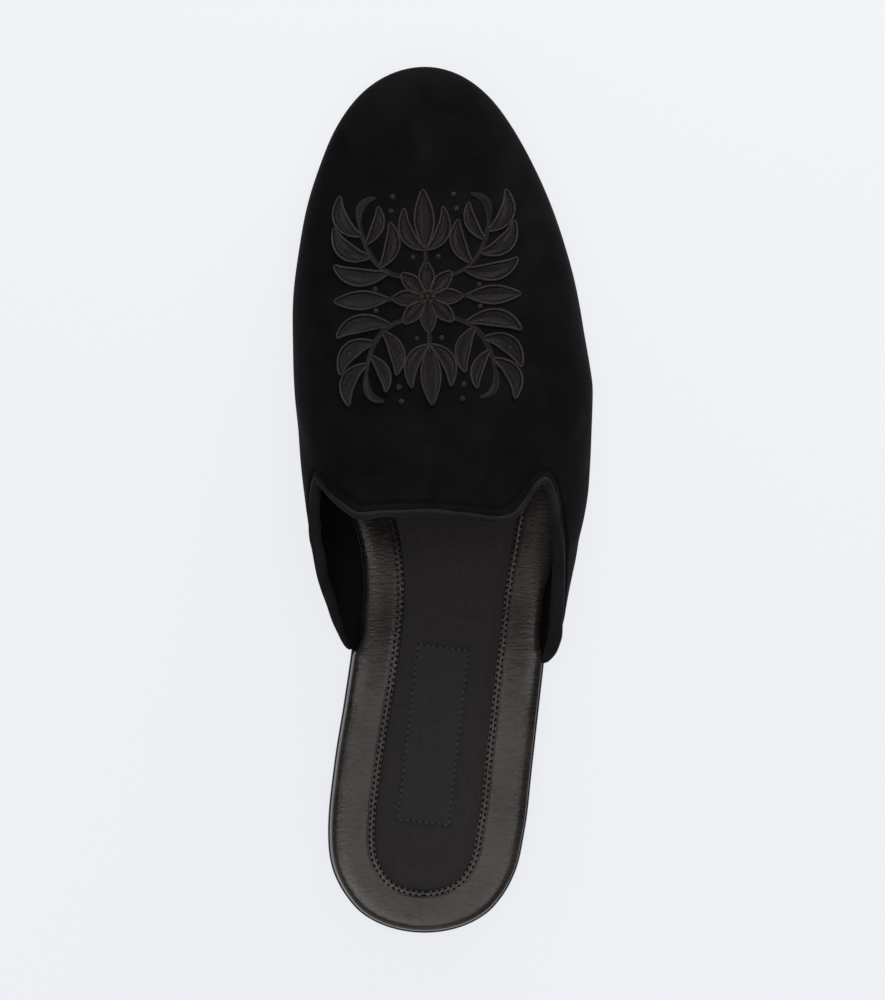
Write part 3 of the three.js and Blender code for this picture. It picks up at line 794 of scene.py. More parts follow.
def outline_solid(last: Last, shares: Array, offsets: Sequence[Array],
                  heights: Sequence[Callable[[Array], Array]]) -> Surface:
    """Closed solid whose rim follows the sole's outline, from its lowest ring to its highest.

    Args:
        last: the shoe's form.
        shares: places along the sole.
        offsets: distances outside the edge, for each ring.
        heights: height at a distance from the heel, for each ring.

    Returns:
        The welded surface.
    """
    rings = [outline_ring(last, shares, offset, height) for offset, height in zip(offsets, heights)]
    return capped_rings(rings, shares)


def capped_rings(rings: Sequence[Array], shares: Array) -> Surface:
    """Returns the closed solid through rings of the sole's outline, from the lowest one to the highest."""
    caps = [outline_caps(rings[0], shares, False), outline_caps(rings[-1], shares, True)]
    return Surface.joined([ring_strip(np.array(rings)), *caps]).welded()


# Materials

def linear(colour: str) -> tuple[float, float, float, float]:
    """Turns an sRGB colour to linear light by the standard's own curve, a line and then a power of 2.4.

    Args:
        colour: hex value such as #1a2b3c.

    Returns:
        Red, green, blue and an alpha of 1.
    """
    values = np.array([int(colour[k:k + 2], 16) for k in (1, 3, 5)]) / 255
    light = np.where(values <= 0.04045, values / 12.92, ((values + 0.055) / 1.055) ** 2.4)
    return (*map(float, light), 1.0)


def per_mm(size: float) -> float:
    """Texture scale in Object coordinates, which are metres, for a pattern of this size in millimetres."""
    return 1 / (size * MM)


def add_node(tree: bpy.types.NodeTree, kind: str, inputs: dict | None = None,
             **settings: object) -> bpy.types.Node:
    """Adds a node with its settings and links.

    Args:
        tree: the material's node tree.
        kind: the node's type name.
        inputs: a socket to link or a plain value for each input, by its name or number.
        settings: the node's own properties.

    Returns:
        The new node.
    """
    node = tree.nodes.new(kind)
    for name, value in settings.items():
        setattr(node, name, value)
    for name, value in (inputs or {}).items():
        if isinstance(value, bpy.types.NodeSocket):
            tree.links.new(value, node.inputs[name])
        else:
            node.inputs[name].default_value = value
    return node


@dataclass(frozen=True)
class Finish:
    """A material: its name and the sRGB colours between which it varies."""

    # Numbers of the mix node's colour sockets, whose names it shares with its other sockets
    MIX_FACTOR = 0
    MIX_FROM = 6
    MIX_TO = 7
    MIX_RESULT = 2

    name: str
    dark: str
    light: str

    def material(self) -> bpy.types.Material:
        """Builds the material from its shader.

        Returns:
            The new material.
        """
        material = bpy.data.materials.new(self.name)
        material.use_nodes = True
        material.diffuse_color = linear(self.light)
        tree = material.node_tree
        tree.nodes.clear()
        shader = self.shade(tree)
        add_node(tree, "ShaderNodeOutputMaterial", {"Surface": shader})
        return material

    def shade(self, tree: bpy.types.NodeTree) -> bpy.types.NodeSocket:
        """Adds the material's nodes and returns the shader's socket."""
        raise NotImplementedError

    def blend(self, tree: bpy.types.NodeTree, factor: bpy.types.NodeSocket) -> bpy.types.NodeSocket:
        """Mixes the dark and the light colour.

        Args:
            tree: the material's node tree.
            factor: 0 for the dark colour and 1 for the light one.

        Returns:
            The mixed colour's socket.
        """
        mixed = add_node(tree, "ShaderNodeMix", {
            self.MIX_FACTOR: factor, self.MIX_FROM: linear(self.dark), self.MIX_TO: linear(self.light),
        }, data_type="RGBA")
        return mixed.outputs[self.MIX_RESULT]


@dataclass(frozen=True)
class CottonVelvet(Finish):
    """Short cut pile: nearly black head on, with a faint bluish bloom where it is seen from the side."""

    pile: float = 0.7
    pile_depth: float = 0.25
    nap: float = 16.0
    sheen: float = 0.07
    bloom: str = "#a3a4ad"

    def shade(self, tree: bpy.types.NodeTree) -> bpy.types.NodeSocket:
        """Mixes brushed patches of nap with single tufts and adds a soft sheen.

        Args:
            tree: the material's node tree.

        Returns:
            The shader's socket.
        """
        place = add_node(tree, "ShaderNodeTexCoord").outputs["Object"]
        patches = add_node(tree, "ShaderNodeTexNoise",
                           {"Vector": place, "Scale": per_mm(self.nap), "Detail": 4.0, "Distortion": 0.6})
        tufts = add_node(tree, "ShaderNodeTexNoise",
                         {"Vector": place, "Scale": per_mm(self.pile), "Detail": 2.0})
        brushed = add_node(tree, "ShaderNodeMapRange",
                           {"Value": patches.outputs[0], "From Min": 0.35, "From Max": 0.7})
        both = add_node(tree, "ShaderNodeMath",
                        {0: brushed.outputs[0], 1: tufts.outputs[0]}, operation="MULTIPLY")
        bump = add_node(tree, "ShaderNodeBump",
                        {"Strength": 0.35, "Distance": self.pile_depth * MM, "Height": tufts.outputs[0]})
        shader = add_node(tree, "ShaderNodeBsdfPrincipled", {
            "Base Color": self.blend(tree, both.outputs[0]),
            "Roughness": 0.95,
            "Specular IOR Level": 0.02,
            "Sheen Weight": self.sheen,
            "Sheen Roughness": 0.35,
            "Sheen Tint": linear(self.bloom),
            "Normal": bump.outputs[0],
        })
        return shader.outputs[0]


@dataclass(frozen=True)
class SatinThread(Finish):
    """Silk floss laid side by side: dark grey, with a soft gloss broken by the single threads."""

    # Spacing of the wave pattern's bands at scale 1
    WAVE_SPACING = 2 * math.pi / 20

    pitch: float = 0.8
    thread_depth: float = 0.3
    patch: float = 6.0

    def shade(self, tree: bpy.types.NodeTree) -> bpy.types.NodeSocket:
        """Draws the threads as bands across each stroke, coarser than real floss so that they show.

        Args:
            tree: the material's node tree.

        Returns:
            The shader's socket.
        """
        uv = add_node(tree, "ShaderNodeUVMap", uv_map="stitch").outputs[0]
        place = add_node(tree, "ShaderNodeTexCoord").outputs["Object"]
        bands = add_node(tree, "ShaderNodeTexWave", {
            "Vector": uv, "Scale": self.WAVE_SPACING / self.pitch, "Distortion": 0.7, "Detail": 1.0,
        }, bands_direction="Y")
        tone = add_node(tree, "ShaderNodeTexNoise",
                        {"Vector": place, "Scale": per_mm(self.patch), "Detail": 3.0})
        mix = add_node(tree, "ShaderNodeMath",
                       {0: bands.outputs[1], 1: tone.outputs[0]}, operation="MULTIPLY")
        bump = add_node(tree, "ShaderNodeBump",
                        {"Strength": 0.6, "Distance": self.thread_depth * MM, "Height": bands.outputs[1]})
        fibre = add_node(tree, "ShaderNodeTangent", direction_type="UV_MAP", uv_map="stitch")
        shader = add_node(tree, "ShaderNodeBsdfPrincipled", {
            "Base Color": self.blend(tree, mix.outputs[0]),
            "Roughness": 0.36,
            "Specular IOR Level": 0.32,
            "Anisotropic": 0.7,
            "Anisotropic Rotation": 0.25,
            "Tangent": fibre.outputs[0],
            "Normal": bump.outputs[0],
        })
        return shader.outputs[0]


@dataclass(frozen=True)
class NappaLeather(Finish):
    """Soft black lambskin: fine pebbled grain with a satin gloss that greys under a broad light."""

    grain: float = 0.8
    grain_depth: float = 0.14
    relief: float = 0.16
    crinkle: float = 3.0
    crinkle_length: float = 3.0
    patch: float = 22.0
    gloss: float = 0.22
    gloss_spread: tuple[float, float] = (0.05, 0.1)
    shine: float = 0.47
    tint: str = "#ffffff"

    def shade(self, tree: bpy.types.NodeTree) -> bpy.types.NodeSocket:
        """Adds pebbles, fine crinkles across the shoe with painted highlight on their ridges, and a slow
        drift of gloss and tone.

        Args:
            tree: the material's node tree.

        Returns:
            The shader's socket.
        """
        place = add_node(tree, "ShaderNodeTexCoord").outputs["Object"]
        pebbles = add_node(tree, "ShaderNodeTexVoronoi", {"Vector": place, "Scale": per_mm(self.grain)})
        long_, fine = per_mm(self.crinkle_length), per_mm(self.grain)
        across = add_node(tree, "ShaderNodeMapping", {"Vector": place, "Scale": (long_, fine, long_)})
        crinkles = add_node(tree, "ShaderNodeTexNoise",
                            {"Vector": across.outputs[0], "Scale": 1.0, "Detail": 4.0})
        drift = add_node(tree, "ShaderNodeTexNoise",
                         {"Vector": place, "Scale": per_mm(self.patch), "Detail": 3.0})
        relief = add_node(tree, "ShaderNodeMath", {
            0: crinkles.outputs[0], 1: self.crinkle, 2: pebbles.outputs[0],
        }, operation="MULTIPLY_ADD")
        bump = add_node(tree, "ShaderNodeBump", {
            "Strength": self.relief, "Distance": self.grain_depth * MM, "Height": relief.outputs[0],
        })
        below, above = self.gloss_spread
        rough = add_node(tree, "ShaderNodeMapRange", {
            "Value": drift.outputs[0], "To Min": self.gloss - below, "To Max": self.gloss + above,
        })
        # Painted highlight: the colour is paler on the crinkles' ridges; the slow drift adds random tone.
        ridge_sheen_and_drift = add_node(tree, "ShaderNodeMath",
                        {0: drift.outputs[0], 1: crinkles.outputs[0]}, operation="ADD")
        tone = add_node(tree, "ShaderNodeMapRange",
                        {"Value": ridge_sheen_and_drift.outputs[0], "From Min": 0.7, "From Max": 1.3})
        shader = add_node(tree, "ShaderNodeBsdfPrincipled", {
            "Base Color": self.blend(tree, tone.outputs[0]),
            "Roughness": rough.outputs[0],
            "IOR": 1.5,
            "Specular IOR Level": self.shine,
            "Specular Tint": linear(self.tint),
            "Normal": bump.outputs[0],
        })
        return shader.outputs[0]


@dataclass(frozen=True)
class SockWeave(Finish):
    """Plain-woven cloth: matt, brown-black, with crossing yarns and a few thick slubs."""

    yarn: float = 0.5
    yarn_depth: float = 0.2
    slub: float = 4.5

    def shade(self, tree: bpy.types.NodeTree) -> bpy.types.NodeSocket:
        """Crosses long streaks along and across the shoe, about twice as coarse as real yarn so as to show.

        Args:
            tree: the material's node tree.

        Returns:
            The shader's socket.
        """
        place = add_node(tree, "ShaderNodeTexCoord").outputs["Object"]
        fine, long_ = per_mm(self.yarn), per_mm(self.slub)
        streaks = []
        for stretch in ((fine, long_, long_), (long_, fine, long_)):
            along = add_node(tree, "ShaderNodeMapping", {"Vector": place, "Scale": stretch})
            streaks.append(add_node(tree, "ShaderNodeTexNoise",
                                    {"Vector": along.outputs[0], "Scale": 1.0, "Detail": 3.0}).outputs[0])
        crossed = add_node(tree, "ShaderNodeMath", {0: streaks[0], 1: streaks[1]}, operation="ADD")
        tone = add_node(tree, "ShaderNodeMapRange",
                        {"Value": crossed.outputs[0], "From Min": 0.65, "From Max": 1.35})
        bump = add_node(tree, "ShaderNodeBump",
                        {"Strength": 0.35, "Distance": self.yarn_depth * MM, "Height": crossed.outputs[0]})
        shader = add_node(tree, "ShaderNodeBsdfPrincipled", {
            "Base Color": self.blend(tree, tone.outputs[0]),
            "Roughness": 0.9,
            "Specular IOR Level": 0.1,
            "Sheen Weight": 0.05,
            "Normal": bump.outputs[0],
        })
        return shader.outputs[0]


@dataclass(frozen=True)
class WaxedLeather(Finish):
    """Black dyed sole leather: waxed and burnished, with fine streaks and a clear gloss on its edge."""

    streak: float = 0.8
    streak_depth: float = 0.15
    patch: float = 9.0
    gloss: float = 0.36
    gloss_spread: tuple[float, float] = (0.08, 0.14)
    shine: float = 0.22

    def shade(self, tree: bpy.types.NodeTree) -> bpy.types.NodeSocket:
        """Adds burnishing streaks and a slow change of tone.

        Args:
            tree: the material's node tree.

        Returns:
            The shader's socket.
        """
        place = add_node(tree, "ShaderNodeTexCoord").outputs["Object"]
        drift = add_node(tree, "ShaderNodeTexNoise",
                         {"Vector": place, "Scale": per_mm(self.patch), "Detail": 5.0})
        fine = add_node(tree, "ShaderNodeTexNoise",
                        {"Vector": place, "Scale": per_mm(self.streak), "Detail": 2.0})
        below, above = self.gloss_spread
        rough = add_node(tree, "ShaderNodeMapRange", {
            "Value": drift.outputs[0], "To Min": self.gloss - below, "To Max": self.gloss + above,
        })
        bump = add_node(tree, "ShaderNodeBump",
                        {"Strength": 0.15, "Distance": self.streak_depth * MM, "Height": fine.outputs[0]})
        shader = add_node(tree, "ShaderNodeBsdfPrincipled", {
            "Base Color": self.blend(tree, drift.outputs[0]),
            "Roughness": rough.outputs[0],
            "IOR": 1.5,
            "Specular IOR Level": self.shine,
            "Normal": bump.outputs[0],
        })
        return shader.outputs[0]


@dataclass(frozen=True)
class PaperSweep(Finish):
    """Matt pale paper, lit through from below as on a light table, so that shadows stay faint."""

    tooth: float = 3.0
    glow_colour: str = "#f2f4f8"
    glow: float = 0.87
    far_glow: float = 0.3
    lit_to: float = 2.5
    dim_from: float = 7.0

    def shade(self, tree: bpy.types.NodeTree) -> bpy.types.NodeSocket:
        """Gives the paper a faint tooth and its own light, which falls off in metres from the shoe.

        Args:
            tree: the material's node tree.

        Returns:
            The shader's socket.
        """
        place = add_node(tree, "ShaderNodeTexCoord").outputs["Object"]
        tooth = add_node(tree, "ShaderNodeTexNoise",
                         {"Vector": place, "Scale": per_mm(self.tooth), "Detail": 2.0})
        away = add_node(tree, "ShaderNodeVectorMath", {0: place}, operation="LENGTH")
        glow = add_node(tree, "ShaderNodeMapRange", {
            "Value": away.outputs["Value"], "From Min": self.lit_to, "From Max": self.dim_from,
            "To Min": self.glow, "To Max": self.far_glow,
        }, interpolation_type="SMOOTHSTEP")
        shader = add_node(tree, "ShaderNodeBsdfPrincipled", {
            "Base Color": self.blend(tree, tooth.outputs[0]),
            "Roughness": 0.9,
            "Specular IOR Level": 0.0,
            "Emission Color": linear(self.glow_colour),
            "Emission Strength": glow.outputs[0],
        })
        return shader.outputs[0]


VELVET = CottonVelvet("cotton_velvet", "#0c0c0c", "#161616")
# Painted sheen: the turned edge is the same velvet in lighter colours, which paint the sheen of the pile seen
# edge-on at the fold.
ROLL_VELVET_PAINTED_SHEEN = CottonVelvet("cotton_velvet_turned_edge_painted_sheen", "#19191a", "#2c2c2d", sheen=0.12)
LINING = NappaLeather("kid_lining", "#0c0a0a", "#141212", gloss=0.7, shine=0.15)
FLOSS = SatinThread("silk_floss", "#0b0908", "#1f1a18")
# Painted highlight: cords and knots are the floss's thread in lighter colours, which paint the bright edges
# of the raised embroidery.
CORD_PAINTED_HIGHLIGHT = SatinThread("silk_cord_painted_highlight", "#1e1a18", "#443d3a", pitch=0.5)
BORDER_LEATHER = NappaLeather("lambskin_border", "#0c0a09", "#312c29", shine=0.45, tint="#fff9f4")
SOCK_CLOTH = SockWeave("woven_sock_cloth", "#292626", "#322e2f")
LABEL_TAPE = SockWeave("woven_label_tape", "#2a2a2a", "#313131", yarn=0.4)
SEAM_THREAD = SockWeave("waxed_seam_thread", "#060606", "#131212", yarn=0.4)
LABEL_THREAD = SockWeave("label_thread", "#373636", "#484746", yarn=0.4)
SOLE_LEATHER = WaxedLeather("waxed_sole_leather", "#0b0a09", "#171412")
HEEL_LEATHER = WaxedLeather("stacked_heel_leather", "#0a0908", "#151210", gloss=0.34)
SWEEP = PaperSweep("pale_paper_sweep", "#545558", "#58595c")


@dataclass
class Maker:
    """Puts surfaces into the scene as pieces of the shoe."""

    last: Last

    def piece(self, name: str, surface: Surface, finish: Finish, slot: str, replaced: Sequence[str] = (),
              sharp: float = 50.0) -> bpy.types.Object:
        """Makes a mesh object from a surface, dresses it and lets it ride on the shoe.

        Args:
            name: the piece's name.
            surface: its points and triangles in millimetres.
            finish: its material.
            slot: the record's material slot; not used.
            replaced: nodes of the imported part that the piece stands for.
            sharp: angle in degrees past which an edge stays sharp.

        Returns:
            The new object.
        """
        mesh = bpy.data.meshes.new(name)
        points = (surface.points - self.last.origin) * MM
        mesh.from_pydata(points.tolist(), [], surface.triangles.tolist())
        mesh.polygons.foreach_set("use_smooth", np.ones(len(mesh.polygons), bool))
        if surface.uv is not None:
            layer = mesh.uv_layers.new(name="stitch")
            corners = np.zeros(len(mesh.loops), np.int32)
            mesh.loops.foreach_get("vertex_index", corners)
            layer.data.foreach_set("uv", surface.uv[corners].astype(np.float32).ravel())
        mesh.set_sharp_from_angle(angle=math.radians(sharp))
        mesh.materials.append(finish.material())
        mesh.validate()
        piece = bpy.data.objects.new(name, mesh)
        bpy.context.scene.collection.objects.link(piece)
        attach(piece, BODY)
        if replaced:
            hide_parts(*replaced)
        LOG.info("%s: %d triangles in %s", name, len(mesh.polygons), finish.name)
        return piece


# Upper

class Fold(NamedTuple):
    """A soft trough in the velvet from one place to another; a negative depth is a ridge."""

    girth_from: float
    along_from: float
    girth_to: float
    along_to: float
    width: float
    depth: float


FOLDS = (
    Fold(0.42, 0.548, 0.6, 0.6, 4.5, 0.55),
    Fold(0.5, 0.52, 0.66, 0.545, 3.5, 0.4),
    Fold(0.47, 0.575, 0.66, 0.64, 5.0, -0.35),
    Fold(0.6, 0.44, 0.76, 0.47, 3.5, 0.4),
    Fold(-0.54, 0.55, -0.68, 0.6, 4.5, 0.5),
    Fold(-0.66, 0.47, -0.82, 0.5, 4.0, 0.2),
    Fold(-0.3, 0.6, 0.26, 0.58, 9.0, 0.3),
    Fold(-0.42, 0.66, -0.1, 0.63, 8.0, 0.25),
)


class Wander(NamedTuple):
    """A hand-made unevenness: its height, its slow and its fast wave in mm, and the fast one's lead."""

    height: float
    slow: float
    fast: float
    lead: float

    def along(self, run: Array) -> Array:
        """Returns height times a slow sine times a fast one, at distances along a line."""
        return self.height * np.sin(run / self.slow) * np.sin(run / self.fast + self.lead)


@dataclass
class Upper:
    """Velvet vamp and quarters with their lining and the rolled topline."""

    last: Last
    girth_steps: int = 240
    length_steps: int = 140
    rim_samples: int = 700
    fold_samples: int = 40
    seam_depth: float = 0.6
    seam_width: float = 0.9
    rim_depth: float = 0.3
    rim_width: float = 1.5
    wave_height: float = 0.16
    waves: tuple[tuple[float, float], ...] = ((6.1, 11.3), (-9.5, 8.7))
    sole_fade: float = 0.06
    toe_fade: float = 0.03
    velvet: float = 0.85
    lining_gap: float = 0.02
    lining_short: float = 0.6
    tongue_roll: float = 1.3
    inner_roll: float = 1.95
    outer_roll: float = 2.3
    swells_from: float = 0.35
    swells_to: float = 0.65
    roll_proud: float = 0.3
    roll_seam: float = 3.4
    roll_end: float = 0.975
    inner_end: float = 0.3
    inner_thins: float = 0.72
    outer_end: float = 0.5
    outer_thins: float = 0.8
    roll_count: int = 520
    roll_sides: int = 14
    roll_swell: Wander = Wander(0.06, 5.3, 2.9, 1.0)
    roll_sway: Wander = Wander(0.22, 7.1, 3.7, 2.0)

    def grid(self, girth_steps: int, length_steps: int, back: float = 0.0) -> tuple[Array, Array]:
        """Girth and place along the sole of a grid over the upper, fine at the toe and at the topline.

        Args:
            girth_steps: steps round the shoe.
            length_steps: steps from toe to topline.
            back: how far short of the topline the grid ends, in millimetres.

        Returns:
            Girths and shares, each of shape (girth_steps + 1, length_steps + 1).
        """
        girth = np.linspace(1, -1, girth_steps + 1)[:, None]
        fine = eased(length_steps + 1)[None]
        end = self.last.topline(girth) + back / self.last.sole_length
        return np.broadcast_arrays(girth, 1 - (1 - end) * fine)

    def rim(self, girth: Array, depth: Array | float) -> Array:
        """Points of the topline inside the velvet's outer face.

        Args:
            girth: places round the shoe.
            depth: distance inside the face, for all places or for each.

        Returns:
            Points, of the girths' shape and one more axis of 3.
        """
        share = self.last.topline(girth)
        depth = np.broadcast_to(depth, girth.shape)[..., None]
        return self.last.upper(girth, share) - self.last.wall_direction(girth, share) * depth

    def relief(self, girth: Array, share: Array, points: Array) -> Array:
        """Height of the velvet's folds over the last: seam of the roll, listed folds and slow waves.

        Seam and folds are bells of the distance to their lines, and the waves are a product of two sines in
        plan. The relief fades to nothing at the sole and at the toe's tip, where the grid's sides meet.

        Args:
            girth: places round the shoe.
            share: places along the sole.
            points: points of the upper's surface there.

        Returns:
            Heights in millimetres, of the girths' shape.
        """
        last = self.last
        rim = self.rim(np.linspace(1, -1, self.rim_samples), last.wall / 2)
        edge = distance_to_line(points, rim)
        height = -self.seam_depth * bell(edge - self.roll_seam, self.seam_width)
        height = height - self.rim_depth * bell(edge, self.rim_width)
        for fold in FOLDS:
            line_girth = np.linspace(fold.girth_from, fold.girth_to, self.fold_samples)
            line_share = np.linspace(fold.along_from, fold.along_to, self.fold_samples)
            away = distance_to_line(points, last.upper(line_girth, line_share))
            height = height - fold.depth * bell(away, fold.width)
        x, y = points[..., 0], points[..., 1]
        first, second = (np.sin(x / across + y / along) for across, along in self.waves)
        height = height + self.wave_height * first * second
        fade = smoothstep(1 - np.abs(girth), 0, self.sole_fade)
        return height * fade * smoothstep(1 - share, 0, self.toe_fade)

    def shell(self) -> Surface:
        """Velvet as a closed shell: the folded outer face and a plain back face behind it.

        Returns:
            The welded surface.
        """
        girth, share = self.grid(self.girth_steps, self.length_steps)
        points = self.last.upper(girth, share)
        through = self.last.wall_direction(girth, share)
        outer = points + through * self.relief(girth, share, points)[..., None]
        return grid_solid(outer, points - through * self.velvet, open_start=True)

    def lining(self) -> Surface:
        """Lining as a closed shell inside the velvet.

        Returns:
            The welded surface.
        """
        girth, share = self.grid(self.girth_steps // 2, self.length_steps // 2, self.lining_short)
        points = self.last.upper(girth, share)
        through = self.last.wall_direction(girth, share)
        outer = points - through * (self.velvet + self.lining_gap)
        return grid_solid(outer, points - through * self.last.wall, open_start=True)

    def roll(self) -> Surface:
        """Topline roll: a round section carried along the rim, a little uneven and rounded at its ends.

        The radius goes from the tongue's to the quarter's by a smooth ramp, thins towards both ends, wanders
        by a product of two sines, and closes at each end as a quarter circle.

        Returns:
            The welded surface.
        """
        girth = np.linspace(self.roll_end, -self.roll_end, self.roll_count)
        quarter = np.where(girth < 0, self.inner_roll, self.outer_roll)
        radius = lerp(self.tongue_roll, quarter, smoothstep(np.abs(girth), self.swells_from, self.swells_to))
        inner = smoothstep(girth, -self.roll_end, -self.inner_thins)
        radius = radius * lerp(self.inner_end, 1.0, inner)
        outer = smoothstep(-girth, -self.roll_end, -self.outer_thins)
        radius = radius * lerp(self.outer_end, 1.0, outer)
        spine = self.rim(girth, radius - self.roll_proud)
        forward = unit(np.gradient(spine, axis=0))
        out = self.last.upper_normal(girth, self.last.topline(girth))
        out = unit(out - forward * np.sum(out * forward, axis=1, keepdims=True))
        aside = np.cross(forward, out)
        run = run_along(spine)
        ends = np.minimum(run, run[-1] - run)
        radius = radius * (1 + self.roll_swell.along(run))
        radius = radius * np.sqrt(1 - (1 - np.clip(ends / self.outer_roll, 0, 1)) ** 2)
        spine = spine + aside * self.roll_sway.along(run)[:, None]
        angle = np.linspace(0, 2 * np.pi, self.roll_sides, endpoint=False)[None, :, None]
        section = out[:, None] * np.cos(angle) + aside[:, None] * np.sin(angle)
        return ring_strip(spine[:, None] + section * radius[:, None, None]).welded()

    def build(self, maker: Maker) -> None:
        """Makes the upper's pieces.

        Args:
            maker: puts the pieces into the scene.
        """
        maker.piece("upper_velvet", self.shell(), VELVET, "velvet", ["upper"], sharp=80)
        maker.piece("upper_lining", self.lining(), LINING, "velvet", ["upper"], sharp=80)
        # The roll's velvet is lighter than the vamp's: painted sheen.
        maker.piece("topline_roll", self.roll(), ROLL_VELVET_PAINTED_SHEEN, "velvet", ["upper"], sharp=80)


# Embroidery

class Stitch(Enum):
    """How a stroke is sewn: its height in millimetres, depth of its middle vein and slant of its threads."""

    LEAF = (0.95, 0.5, 0.8)
    STEM = (1.0, 0.0, 0.5)


class Stroke(NamedTuple):
    """A curved strip from one point to another, pulled towards a bend; ends is its width there as a share."""

    from_u: float
    from_v: float
    bend_u: float
    bend_v: float
    to_u: float
    to_v: float
    wide: float
    ends: float
    stitch: Stitch

    def flipped(self, sign_u: int, sign_v: int) -> "Stroke":
        """The stroke mirrored across one or both axes.

        Args:
            sign_u: -1 to mirror it across, or 1.
            sign_v: -1 to mirror it along, or 1.

        Returns:
            The mirrored stroke.
        """
        u = {name: getattr(self, name) * sign_u for name in ("from_u", "bend_u", "to_u")}
        v = {name: getattr(self, name) * sign_v for name in ("from_v", "bend_v", "to_v")}
        return self._replace(**u, **v)


SPRAY = (
    Stroke(6, 7, 19, 8, 21.5, 25, 2.4, 0.8, Stitch.STEM),
    Stroke(21.2, 23, 23.5, 33.5, 15.5, 34, 3.2, 0.4, Stitch.STEM),
    Stroke(12.5, 9, 24, 5, 30.5, 12, 5.6, 0.15, Stitch.LEAF),
    Stroke(18, 14.5, 28.5, 14, 30, 24.5, 5.4, 0.15, Stitch.LEAF),
    Stroke(20.8, 21.5, 30.5, 25, 27.5, 35, 4.8, 0.15, Stitch.LEAF),
    Stroke(15.4, 10.8, 8.5, 17, 11.5, 25.5, 4.8, 0.15, Stitch.LEAF),
    Stroke(20, 18.5, 13.5, 24, 15.2, 31, 3.8, 0.15, Stitch.LEAF),
)
UPRIGHT_BUD = (
    Stroke(0, 9, 0, 14, 0, 19, 2.2, 1, Stitch.STEM),
    Stroke(0, 16, 8.5, 19.5, 6.4, 30, 4.4, 0.15, Stitch.LEAF),
    Stroke(0, 16, -8.5, 19.5, -6.4, 30, 4.4, 0.15, Stitch.LEAF),
    Stroke(0, 16, 0, 26, 0, 36, 6.4, 0.12, Stitch.LEAF),
)
LEVEL_BUD = (
    Stroke(9, 0, 12, 0, 15, 0, 2.2, 1, Stitch.STEM),
    Stroke(13, 0, 22, 0, 31, 0, 6, 0.12, Stitch.LEAF),
)


class Knot(NamedTuple):
    """A knot in a gap between spray and bud, in one quarter of the medallion."""

    u: float
    v: float


GAP_KNOTS = (
    Knot(4.2, 13.6),
    Knot(10.9, 29.4),
    Knot(17.4, 3.6),
    Knot(26.5, 17.9),
    Knot(10.2, 34.2),
)


